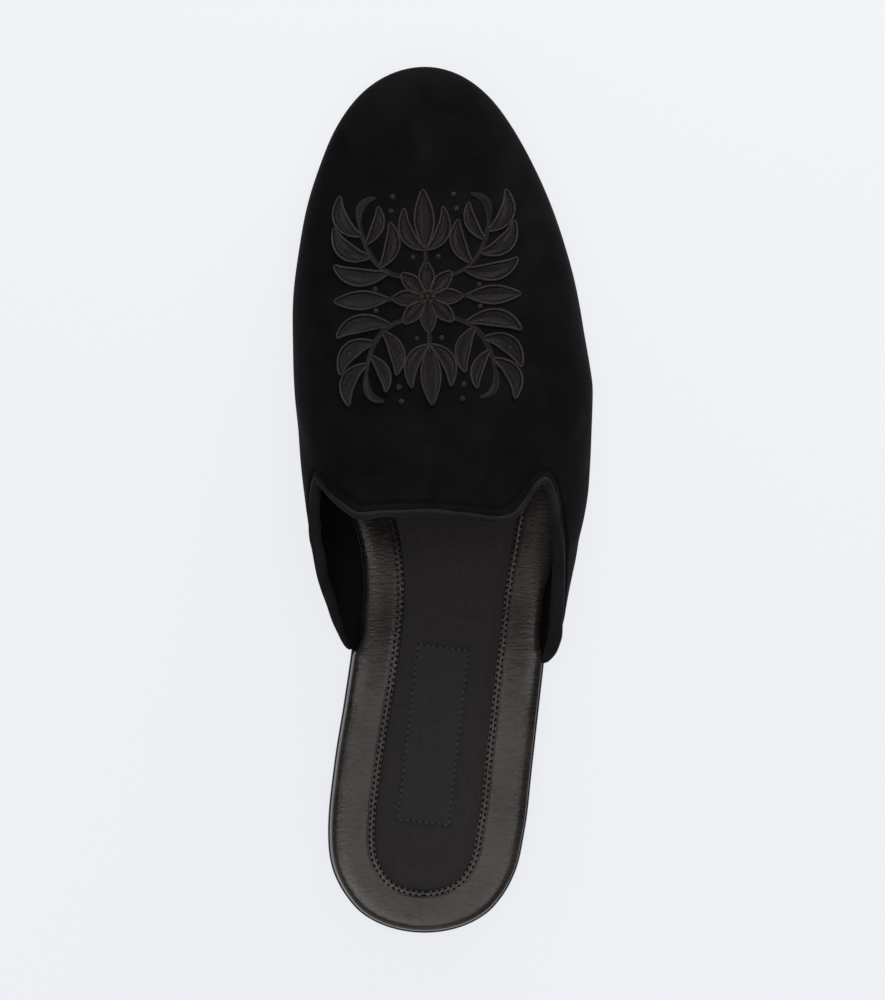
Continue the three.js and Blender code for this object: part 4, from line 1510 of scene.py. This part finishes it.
@dataclass
class Embroidery:
    """Raised medallion on the vamp: a satin-stitched rosette, four leafy sprays and four buds, with knots."""

    last: Last
    middle_x: float = 0.9
    middle_along: float = 212.5
    turn: float = 2.5
    petals: int = 8
    petal_from: float = 2.0
    petal_to: float = 11.6
    petal_wide: float = 5.0
    petal_ends: float = 0.25
    steps: int = 40
    across: int = 11
    underside: int = 4
    vein_width: float = 0.22
    end_height: float = 0.65
    sunk: float = 0.35
    cord_radius: float = 0.4
    cord_height: float = 0.3
    cord_sides: int = 6
    knot_radius: float = 0.95
    knot_stretch: float = 1.1
    knot_rings: int = 5
    knot_sides: int = 10
    heart_knots: int = 6
    heart_radius: float = 1.9
    heart_lift: float = 0.9

    def on_vamp(self, u: Array, v: Array, height: Array) -> Array:
        """Points at a height over the vamp.

        Args:
            u: places across the medallion, in its own plane.
            v: places along it.
            height: heights over the velvet.

        Returns:
            Points, of the arguments' shape and one more axis of 3.
        """
        angle = math.radians(self.turn)
        x = self.middle_x + u * math.cos(angle) - v * math.sin(angle)
        y = self.middle_along + u * math.sin(angle) + v * math.cos(angle)
        girth, share = self.last.vamp_under(x, y)
        return self.last.upper(girth, share) + self.last.upper_normal(girth, share) * height[..., None]

    def strokes(self) -> list[Stroke]:
        """All strokes of the medallion: petals by a loop, sprays and buds by mirroring.

        Returns:
            The strokes, petals first.
        """
        radii = (self.petal_from, (self.petal_from + self.petal_to) / 2, self.petal_to)
        petals = []
        for angle in 2 * np.pi * np.arange(self.petals) / self.petals:
            ends = [radius * turn(angle) for radius in radii for turn in (math.cos, math.sin)]
            petals.append(Stroke(*ends, self.petal_wide, self.petal_ends, Stitch.LEAF))
        sprays = [s.flipped(i, j) for i in (1, -1) for j in (1, -1) for s in SPRAY]
        upright = [s.flipped(1, j) for j in (1, -1) for s in UPRIGHT_BUD]
        level = [s.flipped(i, 1) for i in (1, -1) for s in LEVEL_BUD]
        return petals + sprays + upright + level

    @staticmethod
    def curve(start: Array, bend: Array, end: Array, t: Array) -> tuple[Array, Array]:
        """Places and directions on quadratic curves: (1-t)^2 start + 2t(1-t) bend + t^2 end, and its slope.

        Args:
            start: one coordinate of the curves' first points.
            bend: that coordinate of the points that pull the curves.
            end: that coordinate of the curves' last points.
            t: shares of the way, from 0 to 1.

        Returns:
            The coordinate and its slope.
        """
        place = (1 - t) ** 2 * start + 2 * t * (1 - t) * bend + t * t * end
        return place, 2 * (1 - t) * (bend - start) + 2 * t * (end - bend)

    @staticmethod
    def half_width(wide: Array, ends: Array, t: Array) -> Array:
        """Returns half widths of strokes: a sine between their two ends, each of which closes to a point."""
        return wide / 2 * (ends + (1 - ends) * np.sin(np.pi * t)) * ((t > 0) & (t < 1))

    def satin(self) -> Surface:
        """All strokes at once: a domed section with a vein, carried along quadratic curves.

        The section's top is a half ellipse, lowered by a bell at its middle for the vein, and its underside
        is flat inside the velvet. The width follows a sine between the stroke's two ends.

        Returns:
            The strokes as one surface, with the threads' UVs in millimetres.
        """
        strokes = self.strokes()
        values = np.array([stroke[:8] for stroke in strokes], float)[:, :, None, None]
        sewn = np.array([stroke.stitch.value for stroke in strokes], float)[:, :, None, None]
        from_u, from_v, bend_u, bend_v, to_u, to_v, wide, ends = np.moveaxis(values, 1, 0)
        rise, vein, slant = np.moveaxis(sewn, 1, 0)
        t = np.linspace(0, 1, self.steps + 1)[None, :, None]
        spine_u, way_u = self.curve(from_u, bend_u, to_u, t)
        spine_v, way_v = self.curve(from_v, bend_v, to_v, t)
        size = np.hypot(way_u, way_v)
        half = self.half_width(wide, ends, t)

        top = np.sin(np.linspace(-np.pi / 2, np.pi / 2, self.across))
        under = np.linspace(1, -1, self.underside + 2)[1:-1]
        place = np.concatenate([top, under])[None, None, :]
        furrow = 1 - vein * np.sin(np.pi * t) * bell(place, self.vein_width)
        dome = np.sqrt(np.maximum(0, 1 - place**2)) * furrow
        full = lerp(self.end_height, 1.0, np.clip(half / (wide / 2), 0, 1))
        height = np.where(np.arange(place.size) < self.across, dome * rise * full, 0) - self.sunk
        height = np.where((t > 0) & (t < 1), height, -self.sunk)
        u = spine_u + half * place * way_v / size
        v = spine_v - half * place * way_u / size
        run = np.cumsum(np.hypot(np.diff(spine_u, axis=1), np.diff(spine_v, axis=1)), axis=1)
        run = np.concatenate([np.zeros_like(run[:, :1]), run], axis=1)
        thread = np.where(vein > 0, run - slant * np.abs(half * place), run - slant * half * place)
        rings = self.on_vamp(u, v, height)
        uv = stack(half * place, thread, 0 * thread)[..., :2]
        return Surface.joined([ring_strip(r, m).welded() for r, m in zip(rings, uv)])

    def outlines(self) -> Surface:
        """Thin cords sewn round the leaves: a round section carried up one side of each and down the other.

        Returns:
            The cords as one surface, with the threads' UVs in millimetres along them.
        """
        leaves = np.array([stroke[:8] for stroke in self.strokes() if stroke.stitch is Stitch.LEAF], float)
        from_u, from_v, bend_u, bend_v, to_u, to_v, wide, ends = leaves.T[:, :, None]
        up = np.linspace(0, 1, self.steps + 1)
        t = np.concatenate([up, up[-2:0:-1]])[None]
        side = np.concatenate([np.ones(self.steps + 1), -np.ones(self.steps - 1)])[None]
        spine_u, way_u = self.curve(from_u, bend_u, to_u, t)
        spine_v, way_v = self.curve(from_v, bend_v, to_v, t)
        half = side * self.half_width(wide, ends, t) / np.hypot(way_u, way_v)
        u, v = spine_u + half * way_v, spine_v - half * way_u
        base = self.on_vamp(u, v, np.zeros_like(u))
        spine = self.on_vamp(u, v, np.full_like(u, self.cord_height))
        forward = unit(np.roll(spine, -1, axis=1) - np.roll(spine, 1, axis=1))
        lifted = unit(spine - base)
        aside = unit(np.cross(forward, lifted))
        lifted = np.cross(aside, forward)
        angle = np.linspace(0, 2 * np.pi, self.cord_sides, endpoint=False)[:, None]
        section = lifted[:, :, None] * np.cos(angle) - aside[:, :, None] * np.sin(angle)
        rings = spine[:, :, None] + section * self.cord_radius
        run = np.cumsum(np.linalg.norm(np.diff(spine, axis=1, prepend=spine[:, :1]), axis=-1), axis=1)
        uv = stack(angle[:, 0] + 0 * run[..., None], run[..., None] + 0 * angle[:, 0], 0.0)[..., :2]
        closed = np.concatenate([rings, rings[:, :1]], axis=1)
        uv = np.concatenate([uv, uv[:, :1]], axis=1)
        return Surface.joined([ring_strip(r, m).welded() for r, m in zip(closed, uv)])

    def knots(self) -> Surface:
        """French knots: small domes over the rosette's heart and in the gaps between sprays and buds.

        Returns:
            The knots as one surface, with their threads' UVs.
        """
        turns = np.arange(self.heart_knots) * 2 * math.pi / self.heart_knots
        heart = [(self.heart_radius * math.cos(a), self.heart_radius * math.sin(a)) for a in turns]
        gaps = [(i * knot.u, j * knot.v) for i in (1, -1) for j in (1, -1) for knot in GAP_KNOTS]
        places = np.array([(0.0, 0.0), *heart, *gaps])
        polar = np.linspace(0, np.pi / 2, self.knot_rings)[None, :, None]
        round_ = np.linspace(0, 2 * np.pi, self.knot_sides, endpoint=False)[None, None, :]
        reach = self.knot_radius * np.cos(polar)
        u = places[:, 0, None, None] + reach * np.cos(round_)
        v = places[:, 1, None, None] + reach * np.sin(round_)
        high = np.where(np.arange(len(places)) <= len(heart), self.heart_lift, 0.0)[:, None, None]
        height = high + self.knot_radius * self.knot_stretch * np.sin(polar) - self.sunk + 0 * u
        rings = self.on_vamp(u, v, height)
        uv = stack(reach + 0 * u, 2 * polar + 0 * u, 0 * u)[..., :2]
        domes = []
        for ring, threads in zip(rings, uv):
            cap = fan(ring[0], upward=False)
            base = Surface(cap.points, cap.triangles, np.concatenate([threads[0], threads[0][:1]]))
            domes.append(Surface.joined([ring_strip(ring, threads), base]).welded())
        return Surface.joined(domes)

    def build(self, maker: Maker) -> None:
        """Makes the satin strokes and, in a lighter thread colour that is painted highlight, the cords round
        them and the knots.

        Args:
            maker: puts the pieces into the scene.
        """
        maker.piece("embroidery_floss", self.satin(), FLOSS, "thread", ["embroidery"], sharp=60)
        cords = Surface.joined([self.outlines(), self.knots()])
        maker.piece("embroidery_cord", cords, CORD_PAINTED_HIGHLIGHT, "thread", ["embroidery"], sharp=60)


# Insole

class RimRow(NamedTuple):
    """Section of the insole's leather in mm: distance inside each side's edge, and depth below its top."""

    inner: float
    outer: float
    down: float


FOOTBED_RIM = (
    RimRow(5.0, 5.0, 4.2),
    RimRow(1.0, 1.0, 4.2),
    RimRow(0.3, 0.3, 3.95),
    RimRow(0, 0, 3.4),
    RimRow(0.14, 0, 2.8),
    RimRow(0.32, 0, 2.1),
    RimRow(0.52, 0.05, 1.45),
    RimRow(0.68, 0.3, 1.05),
    RimRow(0.85, 0.75, 0.72),
    RimRow(1.25, 1.3, 0.46),
    RimRow(2.1, 2.1, 0.22),
    RimRow(3.2, 3.1, 0.07),
    RimRow(4.4, 4.3, -0.05),
    RimRow(5.6, 5.6, -0.12),
    RimRow(7.2, 7.2, -0.15),
    RimRow(8.8, 8.8, -0.12),
    RimRow(10.2, 10.2, -0.06),
    RimRow(11.3, 11.3, 0.14),
    RimRow(11.95, 11.95, 0.03),
    RimRow(12.6, 12.6, 0.16),
    RimRow(12.95, 12.95, 0.17),
    RimRow(13.2, 13.2, 0.32),
    RimRow(13.4, 13.4, 0.7),
    RimRow(13.4, 13.4, 1.0),
)


class Wrinkle(NamedTuple):
    """A fine crease across the leather border: side, distance from the heel, width, depth and slope."""

    sign: int
    along: float
    width: float
    depth: float
    slope: float


WRINKLES = (
    Wrinkle(1, 74.5, 1.3, 0.025, 0.1),
    Wrinkle(1, 79.0, 1.4, 0.04, 0.06),
    Wrinkle(1, 84.6, 1.5, 0.035, 0.0),
    Wrinkle(1, 88.4, 1.3, 0.025, 0.1),
    Wrinkle(-1, 77.4, 1.5, 0.03, 0.04),
    Wrinkle(-1, 83.8, 1.6, 0.035, 0.02),
)


class LabelMark(NamedTuple):
    """A mark along the label's seam: share of the pitch past a corner, length, width and lift in mm."""

    phase: float
    length: float
    width: float
    lift: float


STITCH_MARK = LabelMark(0.5, 1.2, 0.5, 0.12)
# Painted shade: dark ovals lying on the label where the needle holes are.
NEEDLE_HOLE_SHADE = LabelMark(0.0, 0.8, 0.55, 0.04)


@dataclass
class Insole:
    """Leather-wrapped footbed with its cloth panel, sewn label and the two rows of border stitches."""

    last: Last
    stations: int = 520
    rim_steps: int = 46
    rim_round: float = 5.6
    seam_from: float = 9.5
    sides_meet: float = 0.08
    covered_from: float = 0.3
    covered_to: float = 0.4
    press: float = 0.4
    press_least: float = 0.01
    outer_swell: float = 1.7
    swell_rise: tuple[float, float] = (0.385, 0.43)
    swell_fall: tuple[float, float] = (0.5, 0.56)
    crease_sway: float = 0.35
    crease_wave: float = 1.9
    crease_reach: float = 1.5
    crease_rise: tuple[float, float] = (0.0, 3.0)
    crease_fall: tuple[float, float] = (7.0, 11.0)
    panel_stations: int = 220
    panel_across: int = 61
    panel_crown: float = 0.12
    panel_tuck: float = 0.75
    tuck_width: float = 3.5
    panel_gap: float = 0.04
    label_width: float = 18.2
    label_length: float = 60.0
    label_x: float = 2.8
    label_along: float = 66.4
    label_turn: float = -6.6
    label_thickness: float = 0.5
    label_steps: tuple[int, int] = (36, 110)
    label_lift: float = 0.2
    label_edge: float = 0.5
    label_soft: float = 0.5
    label_inset: float = 0.6
    label_pull: float = 0.2
    pull_width: float = 0.45
    label_pitch: float = 2.1
    stitch_rows: tuple[float, float] = (11.3, 12.6)
    stitch_pitch: float = 2.0
    stitch_length: float = 1.25
    stitch_width: float = 0.86
    stitch_sunk: float = 0.16
    stitch_rings: int = 7
    stitch_sides: int = 6
    seam_stations: int = 900
    sewn_to: float = 0.8

    def inside(self, share: Array, outer: float, inner: float) -> Array:
        """Offsets from the sole's edge for a distance inside the footbed's edge on each side.

        The two sides' sections run into each other at heel and toe. The border is narrowed round the heel,
        its rim is pressed to a tighter corner under the upper by a power of the distance, and its seams keep
        their distance from the sole's edge.

        Args:
            share: places along the sole.
            outer: distance inside the edge on the outer side.
            inner: distance inside the edge on the inner side.

        Returns:
            Offsets, the outer side's in the first row and the inner side's in the second.
        """
        apart = smoothstep(np.minimum(share, 1 - share), 0, self.sides_meet)
        middle = (outer + inner) / 2
        distance = np.array([lerp(middle, outer, apart), lerp(middle, inner, apart)])
        narrowing = self.last.border_narrowing(share) * np.clip(distance / self.last.border_width, 0, 1)
        covered = smoothstep(share, self.covered_from, self.covered_to)
        corner = np.clip(distance / self.rim_round, self.press_least, 1)
        pressed = distance * corner ** (self.press * covered)
        seam = smoothstep(distance, self.rim_round, self.seam_from)
        return narrowing - pressed - lerp(self.last.footbed_inset(share), self.last.wall_inset, seam)

    def swelling(self, share: Array, distance: float, depth: float) -> Array:
        """How far the insole's outer edge leans out against the quarter, most at its top.

        Args:
            share: places along the sole.
            distance: distance inside the edge.
            depth: depth below the insole's top.

        Returns:
            Distances outwards in millimetres, for each place.
        """
        fades, ends = self.swell_fall
        reach = smoothstep(share, *self.swell_rise) * smoothstep(-share, -ends, -fades)
        top = np.clip(1 - depth / self.last.footbed_thickness, 0, 1)
        return self.outer_swell * reach * top * np.clip(1 - distance / self.rim_round, 0, 1)

    def wrinkling(self, x: Array, y: Array, sign: Array) -> Array:
        """Depth of the fine creases across the border: bells of the distance to slightly wavy lines.

        Args:
            x: places across the shoe.
            y: distances from the heel.
            sign: -1 on the inner side and 1 on the outer side.

        Returns:
            Depths in millimetres, of the arguments' shape.
        """
        depth = np.zeros_like(y)
        for wrinkle in WRINKLES:
            centre = wrinkle.along + wrinkle.slope * np.abs(x)
            centre = centre + self.crease_sway * np.sin(x / self.crease_wave)
            depth += (sign == wrinkle.sign) * wrinkle.depth * bell(y - centre, wrinkle.width)
        return depth

    def footbed(self) -> Surface:
        """Leather border: the rim's section carried round the sole's outline, with wrinkles pressed in.

        Returns:
            The welded surface.
        """
        fades, ends = self.crease_fall
        shares = self.last.stations(self.stations)
        inner, outer, down = np.array(FOOTBED_RIM).T
        run = np.concatenate([[0.0], np.cumsum(np.hypot(np.diff(inner), np.diff(down)))])
        fine = np.unique(np.concatenate([run, np.linspace(0, run[-1], self.rim_steps)]))
        inner, outer, down = (self.smooth(run, values, fine) for values in (inner, outer, down))
        around = np.concatenate([np.ones(len(shares)), -np.ones(len(shares) - 2)])
        rings = []
        for near, far, depth in zip(inner, outer, down):
            offset = self.inside(shares, far, near)
            offset[0] += self.swelling(shares, far, depth)
            ring = outline_ring(self.last, shares, offset, self.last.footbed_top)
            pressed = self.wrinkling(ring[:, 0], ring[:, 1], around) * (depth < self.crease_reach)
            pressed = pressed * smoothstep(near, *self.crease_rise) * smoothstep(-near, -ends, -fades)
            ring[:, 2] -= depth + pressed
            rings.append(ring)
        return capped_rings(rings, shares)

    @staticmethod
    def smooth(run: Array, values: Array, at: Array) -> Array:
        """Values of a profile at finer steps along it, on a curve without overshoot."""
        rows = [InsetRow(r, v) for r, v in zip(run, values)]
        return MonotoneCurve(rows, "along", "width")(at)

    def panel(self) -> Surface:
        """Cloth panel: a thin slab inside the border, a little crowned and tucked down along its edges.

        Returns:
            The welded surface.
        """
        shares = self.last.stations(self.panel_stations)
        edge = self.last.border_width + self.panel_gap
        outer, inner = self.last.both_edges(shares, *self.inside(shares, edge, edge))
        across = eased(self.panel_across)[:, None]
        x, y = lerp(inner[0], outer[0], across), lerp(inner[1], outer[1], across)
        width = np.abs(outer[0] - inner[0])
        edge = np.minimum((0.5 - np.abs(across - 0.5)) * width, np.minimum(y - y.min(), y.max() - y))
        tuck = self.panel_tuck * (1 - smoothstep(edge, 0, self.tuck_width))
        top = stack(x, y, self.last.panel_top(y) + self.panel_crown - tuck)
        bottom = stack(x, y, self.last.panel_top(y) - self.last.panel_thickness)
        return grid_solid(top, bottom)

    def label_grid(self, across: Array, along: Array) -> tuple[Array, Array]:
        """Places of the label in plan.

        Args:
            across: shares of its width, from -0.5 to 0.5.
            along: shares of its length, from -0.5 to 0.5.

        Returns:
            The x and y of the places.
        """
        angle = math.radians(self.label_turn)
        u, v = across * self.label_width, along * self.label_length
        x = self.label_x + u * math.cos(angle) - v * math.sin(angle)
        return x, self.label_along + u * math.sin(angle) + v * math.cos(angle)

    def label(self) -> Surface:
        """Sewn label: a thin slab bent to the heel seat, with soft edges pulled down by its stitches.

        Returns:
            The welded surface.
        """
        across = np.linspace(-0.5, 0.5, self.label_steps[0])[:, None]
        along = np.linspace(-0.5, 0.5, self.label_steps[1])[None, :]
        x, y = self.label_grid(across, along)
        side, end = (0.5 - np.abs(across)) * self.label_width, (0.5 - np.abs(along)) * self.label_length
        edge = np.minimum(side, end)
        floor = self.last.panel_top(y) + self.panel_crown
        raised = self.label_thickness * lerp(self.label_edge, 1.0, smoothstep(edge, 0, self.label_soft))
        raised = raised - self.label_pull * bell(edge - self.label_inset, self.pull_width)
        return grid_solid(stack(x, y, floor + raised + self.label_lift), stack(x, y, floor + 0 * raised))

    def stitches(self, x: Array, y: Array, z: Array, length: float, width: float) -> Surface:
        """Stitches along a closed or open line: small domed ovals, sunk at both ends.

        Args:
            x: plan places of the stitches' middles along the line.
            y: plan places of the stitches' middles along the line.
            z: height of the surface under each.
            length: length of a stitch.
            width: width of a stitch.

        Returns:
            All stitches as one surface.
        """
        way = unit(stack(np.gradient(x), np.gradient(y), np.gradient(z)))
        side = unit(np.cross(way, np.array([0.0, 0.0, 1.0])))
        up = np.cross(side, way)
        polar = np.linspace(-np.pi / 2, np.pi / 2, self.stitch_rings)[None, :, None, None]
        round_ = np.linspace(0, 2 * np.pi, self.stitch_sides, endpoint=False)[None, None, :, None]
        centre = stack(x, y, z)[:, None, None]
        rings = (
            centre
            + way[:, None, None] * np.sin(polar) * length / 2
            + side[:, None, None] * np.cos(polar) * np.cos(round_) * width / 2
            - up[:, None, None] * np.cos(polar) * np.sin(round_) * width / 2
        )
        return Surface.joined([ring_strip(r).welded() for r in rings])

    def border_seam(self) -> Surface:
        """The two rows of border stitches, evenly spaced along their lines.

        Returns:
            All stitches as one surface.
        """
        rows = []
        for number, distance in enumerate(self.stitch_rows):
            shares = self.last.stations(self.seam_stations, 0.0, self.sewn_to)
            offset = self.inside(shares, distance, distance)
            ring = outline_ring(self.last, shares, offset, self.last.footbed_top)
            line = np.concatenate([ring[len(shares):], ring[:len(shares)]])
            run = run_along(line)
            start = self.stitch_pitch * (1 + number / 2)
            at = np.arange(start, run[-1] - self.stitch_pitch, self.stitch_pitch)
            x, y, z = (np.interp(at, run, line[:, k]) for k in range(3))
            rows.append(self.stitches(x, y, z - self.stitch_sunk, self.stitch_length, self.stitch_width))
        return Surface.joined(rows)

    def label_seam(self, mark: LabelMark) -> Surface:
        """Stitches, or dark ovals of painted shade at the needle holes, evenly spaced just inside the label's
        edge.

        Args:
            mark: one stitch, or the painted shade of one needle hole.

        Returns:
            All of them as one surface.
        """
        wide = 0.5 - self.label_inset / self.label_width
        long_ = 0.5 - self.label_inset / self.label_length
        corners = np.array([(-wide, -long_), (wide, -long_), (wide, long_), (-wide, long_), (-wide, -long_)])
        sizes = np.array([self.label_width, self.label_length])
        sides = []
        for start, end in zip(corners[:-1], corners[1:]):
            count = int(np.linalg.norm((end - start) * sizes) / self.label_pitch)
            at = (np.arange(count) + mark.phase)[:, None] / count
            x, y = self.label_grid(*lerp(start, end, at).T)
            z = self.last.panel_top(y) + self.label_thickness + mark.lift
            sides.append(self.stitches(x, y, z, mark.length, mark.width))
        return Surface.joined(sides)

    def build(self, maker: Maker) -> None:
        """Makes the insole's pieces.

        Args:
            maker: puts the pieces into the scene.
        """
        footbed = maker.piece("footbed_leather", self.footbed(), BORDER_LEATHER, "sock_leather", ["footbed"],
                              sharp=60)
        maker.piece("sock_cloth", self.panel(), SOCK_CLOTH, "sock_cloth", ["sock_panel"])
        maker.piece("sewn_label", self.label(), LABEL_TAPE, "label_cloth", ["sock_label"])
        maker.piece("border_stitches", self.border_seam(), SEAM_THREAD, "sock_leather")
        maker.piece("label_stitches", self.label_seam(STITCH_MARK), LABEL_THREAD, "label_cloth")
        # Dark ovals of painted shade at the label's needle holes.
        maker.piece("label_needle_hole_shade", self.label_seam(NEEDLE_HOLE_SHADE), SEAM_THREAD, "label_cloth")


# Bottom

class EdgeRow(NamedTuple):
    """Section of the sole's edge: distance inside the outline and share of the sole's thickness."""

    inside: float
    up: float


SOLE_EDGE = (
    EdgeRow(9, 0),
    EdgeRow(1.5, 0),
    EdgeRow(0.75, 0.02),
    EdgeRow(0.3, 0.09),
    EdgeRow(0.06, 0.2),
    EdgeRow(0, 0.34),
    EdgeRow(0, 0.62),
    EdgeRow(0.04, 0.78),
    EdgeRow(0.14, 0.9),
    EdgeRow(0.4, 0.98),
    EdgeRow(0.9, 1),
    EdgeRow(9, 1),
)


@dataclass
class Bottom:
    """Thin leather sole and the low stacked heel under it."""

    last: Last
    heel_length: float = 72.0
    heel_taper: float = 1.6
    heel_inset: float = 0.6
    heel_hollow: float = 4.0
    lifts: tuple[float, ...] = (0.34, 0.62, 0.86)
    plain_levels: tuple[float, ...] = (0.0, 0.03, 0.08, 1.0)
    groove_levels: tuple[float, ...] = (-0.03, -0.012, 0.0, 0.012, 0.03)
    groove_depth: float = 0.35
    groove_width: float = 0.014
    foot_rounding: float = 0.4
    foot_height: float = 0.03
    sole_stations: int = 320
    heel_stations: int = 110
    breast_steps: int = 42

    def sole(self) -> Surface:
        """Sole: its edge section carried round the outline.

        Returns:
            The welded surface.
        """
        shares = self.last.stations(self.sole_stations)
        offsets = [np.full_like(shares, -row.inside) for row in SOLE_EDGE]
        heights = [
            lambda y, up=row.up: self.last.sole_bottom(y) + up * self.last.sole_thickness for row in SOLE_EDGE
        ]
        return outline_solid(self.last, shares, offsets, heights)

    def heel(self) -> Surface:
        """Heel: rings round its D-shaped outline, with a groove between its lifts and a hollow breast.

        The grooves are bells round the lifts' levels, and the breast is a parabola that lies the hollow's
        depth behind the line between its two corners.

        Returns:
            The welded surface.
        """
        shares = self.last.stations(self.heel_stations, 0.0, self.heel_length / self.last.sole_length)
        grooved = [lift + step for lift in self.lifts for step in self.groove_levels]
        levels = np.unique([*self.plain_levels, *grooved])
        across = np.linspace(-1, 1, self.breast_steps)[1:-1]
        way = (across + 1) / 2
        rings = []
        for level in levels:
            groove = self.groove_depth * sum(bell(level - lift, self.groove_width) for lift in self.lifts)
            rounding = self.foot_rounding * bell(level, self.foot_height)
            offset = -self.heel_inset - self.heel_taper * (1 - level) - groove - rounding
            outer, inner = self.last.both_edges(shares, offset, offset)
            breast_x = lerp(outer[0][-1], inner[0][-1], way)
            hollow = self.heel_hollow * (1 - across**2) + groove
            breast_y = lerp(outer[1][-1], inner[1][-1], way) - hollow
            x = np.concatenate([outer[0], breast_x, inner[0][::-1][:-1]])
            y = np.concatenate([outer[1], breast_y, inner[1][::-1][:-1]])
            rings.append(stack(x, y, level * (self.last.sole_bottom(y) - self.last.gap)))
        strip = ring_strip(np.array(rings))
        return Surface.joined([strip, fan(rings[0], False), fan(rings[-1], True)]).welded()

    def build(self, maker: Maker) -> None:
        """Makes the sole and the heel.

        Args:
            maker: puts the pieces into the scene.
        """
        maker.piece("leather_sole", self.sole(), SOLE_LEATHER, "sole_leather", ["outsole"], sharp=45)
        maker.piece("stacked_heel", self.heel(), HEEL_LEATHER, "heel_leather", ["heel"], sharp=45)


# Studio

class Lamp(NamedTuple):
    """A soft box: place and size in metres, power in watts, and whether glossy faces show it."""

    name: str
    x: float
    y: float
    z: float
    width: float
    height: float
    power: float
    mirrored: bool


LAMPS = (
    Lamp("top_panel", 0, 0, 2.4, 0.95, 0.95, 3.4, True),
    Lamp("soft_fill", 0, -0.1, 2.2, 1.6, 1.6, 10, False),
    Lamp("heel_inner_box", -0.42, -0.42, 1.8, 0.35, 0.35, 2.1, True),
    Lamp("heel_outer_box", 0.42, -0.42, 1.8, 0.35, 0.35, 1.4, True),
    Lamp("heel_box", -0.1, -0.75, 1.8, 0.5, 0.3, 1.9, True),
    Lamp("inner_low_box", -1.5, -0.4, 0.75, 1.6, 1.0, 3, True),
    Lamp("heel_low_box", -0.2, -1.5, 0.75, 1.4, 0.9, 2.2, True),
    Lamp("arch_inner_box", -0.4, 0.38, 1.8, 0.3, 0.3, 1.2, True),
    Lamp("arch_outer_box", 0.45, 0.4, 1.8, 0.3, 0.3, 1.3, True),
    Lamp("toe_fill", 0.2, 0.7, 0.22, 0.6, 0.3, 7, False),
)


@dataclass
class Studio:
    """Pale floor, soft light and the camera straight above the shoe, toe up."""

    last: Last
    frame_height_px: int = 1000
    shoe_height_px: int = 868
    distance: float = 8.0
    sensor: float = 36.0
    floor_radius: float = 12.0
    floor_sides: int = 64
    wall_curve: float = 3.0
    curve_steps: int = 16
    sky: str = "#f3f4f7"
    sky_strength: float = 0.2
    aim: tuple[float, float, float] = (0, 0, 0.02)

    def floor(self) -> None:
        """Lays the pale paper: a round flat floor that turns up in a quarter circle far from the shoe."""
        turn = np.linspace(0, np.pi / 2, self.curve_steps)
        radius = np.concatenate([[0.0], self.floor_radius + self.wall_curve * np.sin(turn)])
        height = np.concatenate([[0.0], self.wall_curve * (1 - np.cos(turn))])
        angle = np.linspace(0, 2 * np.pi, self.floor_sides, endpoint=False)
        rings = stack(radius[:, None] * np.cos(angle), radius[:, None] * np.sin(angle), height[:, None])
        sweep = ring_strip(rings).welded()
        mesh = bpy.data.meshes.new("paper_floor")
        mesh.from_pydata(sweep.points.tolist(), [], sweep.triangles[:, ::-1].tolist())
        mesh.materials.append(SWEEP.material())
        floor = bpy.data.objects.new("paper_floor", mesh)
        bpy.context.scene.collection.objects.link(floor)
        floor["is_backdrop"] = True

    def lamp(self, lamp: Lamp) -> None:
        """Hangs one soft box that faces the middle of the shoe.

        Args:
            lamp: the box's place, size and power.
        """
        light = bpy.data.lights.new(lamp.name, "AREA")
        light.shape = "RECTANGLE"
        light.size, light.size_y = lamp.width, lamp.height
        light.energy = lamp.power
        holder = bpy.data.objects.new(lamp.name, light)
        place = Vector((lamp.x, lamp.y, lamp.z))
        holder.location = place
        holder.visible_glossy = lamp.mirrored
        direction = Vector(self.aim) - place
        holder.rotation_euler = direction.to_track_quat("-Z", "Y").to_euler()
        bpy.context.scene.collection.objects.link(holder)

    def light(self) -> None:
        """Hangs the lamps and sets a faint even sky."""
        for lamp in LAMPS:
            self.lamp(lamp)
        world = bpy.data.worlds.new("even_sky")
        world.use_nodes = True
        background = world.node_tree.nodes["Background"]
        background.inputs["Color"].default_value = linear(self.sky)
        background.inputs["Strength"].default_value = self.sky_strength
        bpy.context.scene.world = world
        bpy.context.scene.view_settings.view_transform = "Standard"

    def camera(self) -> None:
        """Hangs the camera straight above the shoe, so far off that the toe and heel keep one scale."""
        camera = bpy.data.cameras.new("photo_camera")
        span = self.last.length * MM * self.frame_height_px / self.shoe_height_px
        camera.sensor_width = self.sensor
        camera.lens = self.sensor * (self.distance - self.last.instep_height / 2 * MM) / span
        low, high = CAD_BOX
        holder = bpy.data.objects.new("photo_camera", camera)
        holder.location = ((low[0] + high[0]) / 2, (low[1] + high[1]) / 2, self.distance)
        bpy.context.scene.collection.objects.link(holder)
        bpy.context.scene.camera = holder

    def build(self) -> None:
        """Sets up floor, light and camera."""
        self.floor()
        self.light()
        self.camera()


def main() -> None:
    """Builds the studio and then each sub-assembly of the shoe."""
    logging.basicConfig(level=logging.INFO, format="%(name)s: %(message)s")
    last = Last()
    maker = Maker(last)
    Studio(last).build()
    for assembly in (Bottom(last), Insole(last), Upper(last), Embroidery(last)):
        assembly.build(maker)
    boxes = {"cad": CAD_BOX, "visual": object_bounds()}
    plain = {name: [[float(x) for x in corner] for corner in box] for name, box in boxes.items()}


if __name__ == "__main__":
    main()
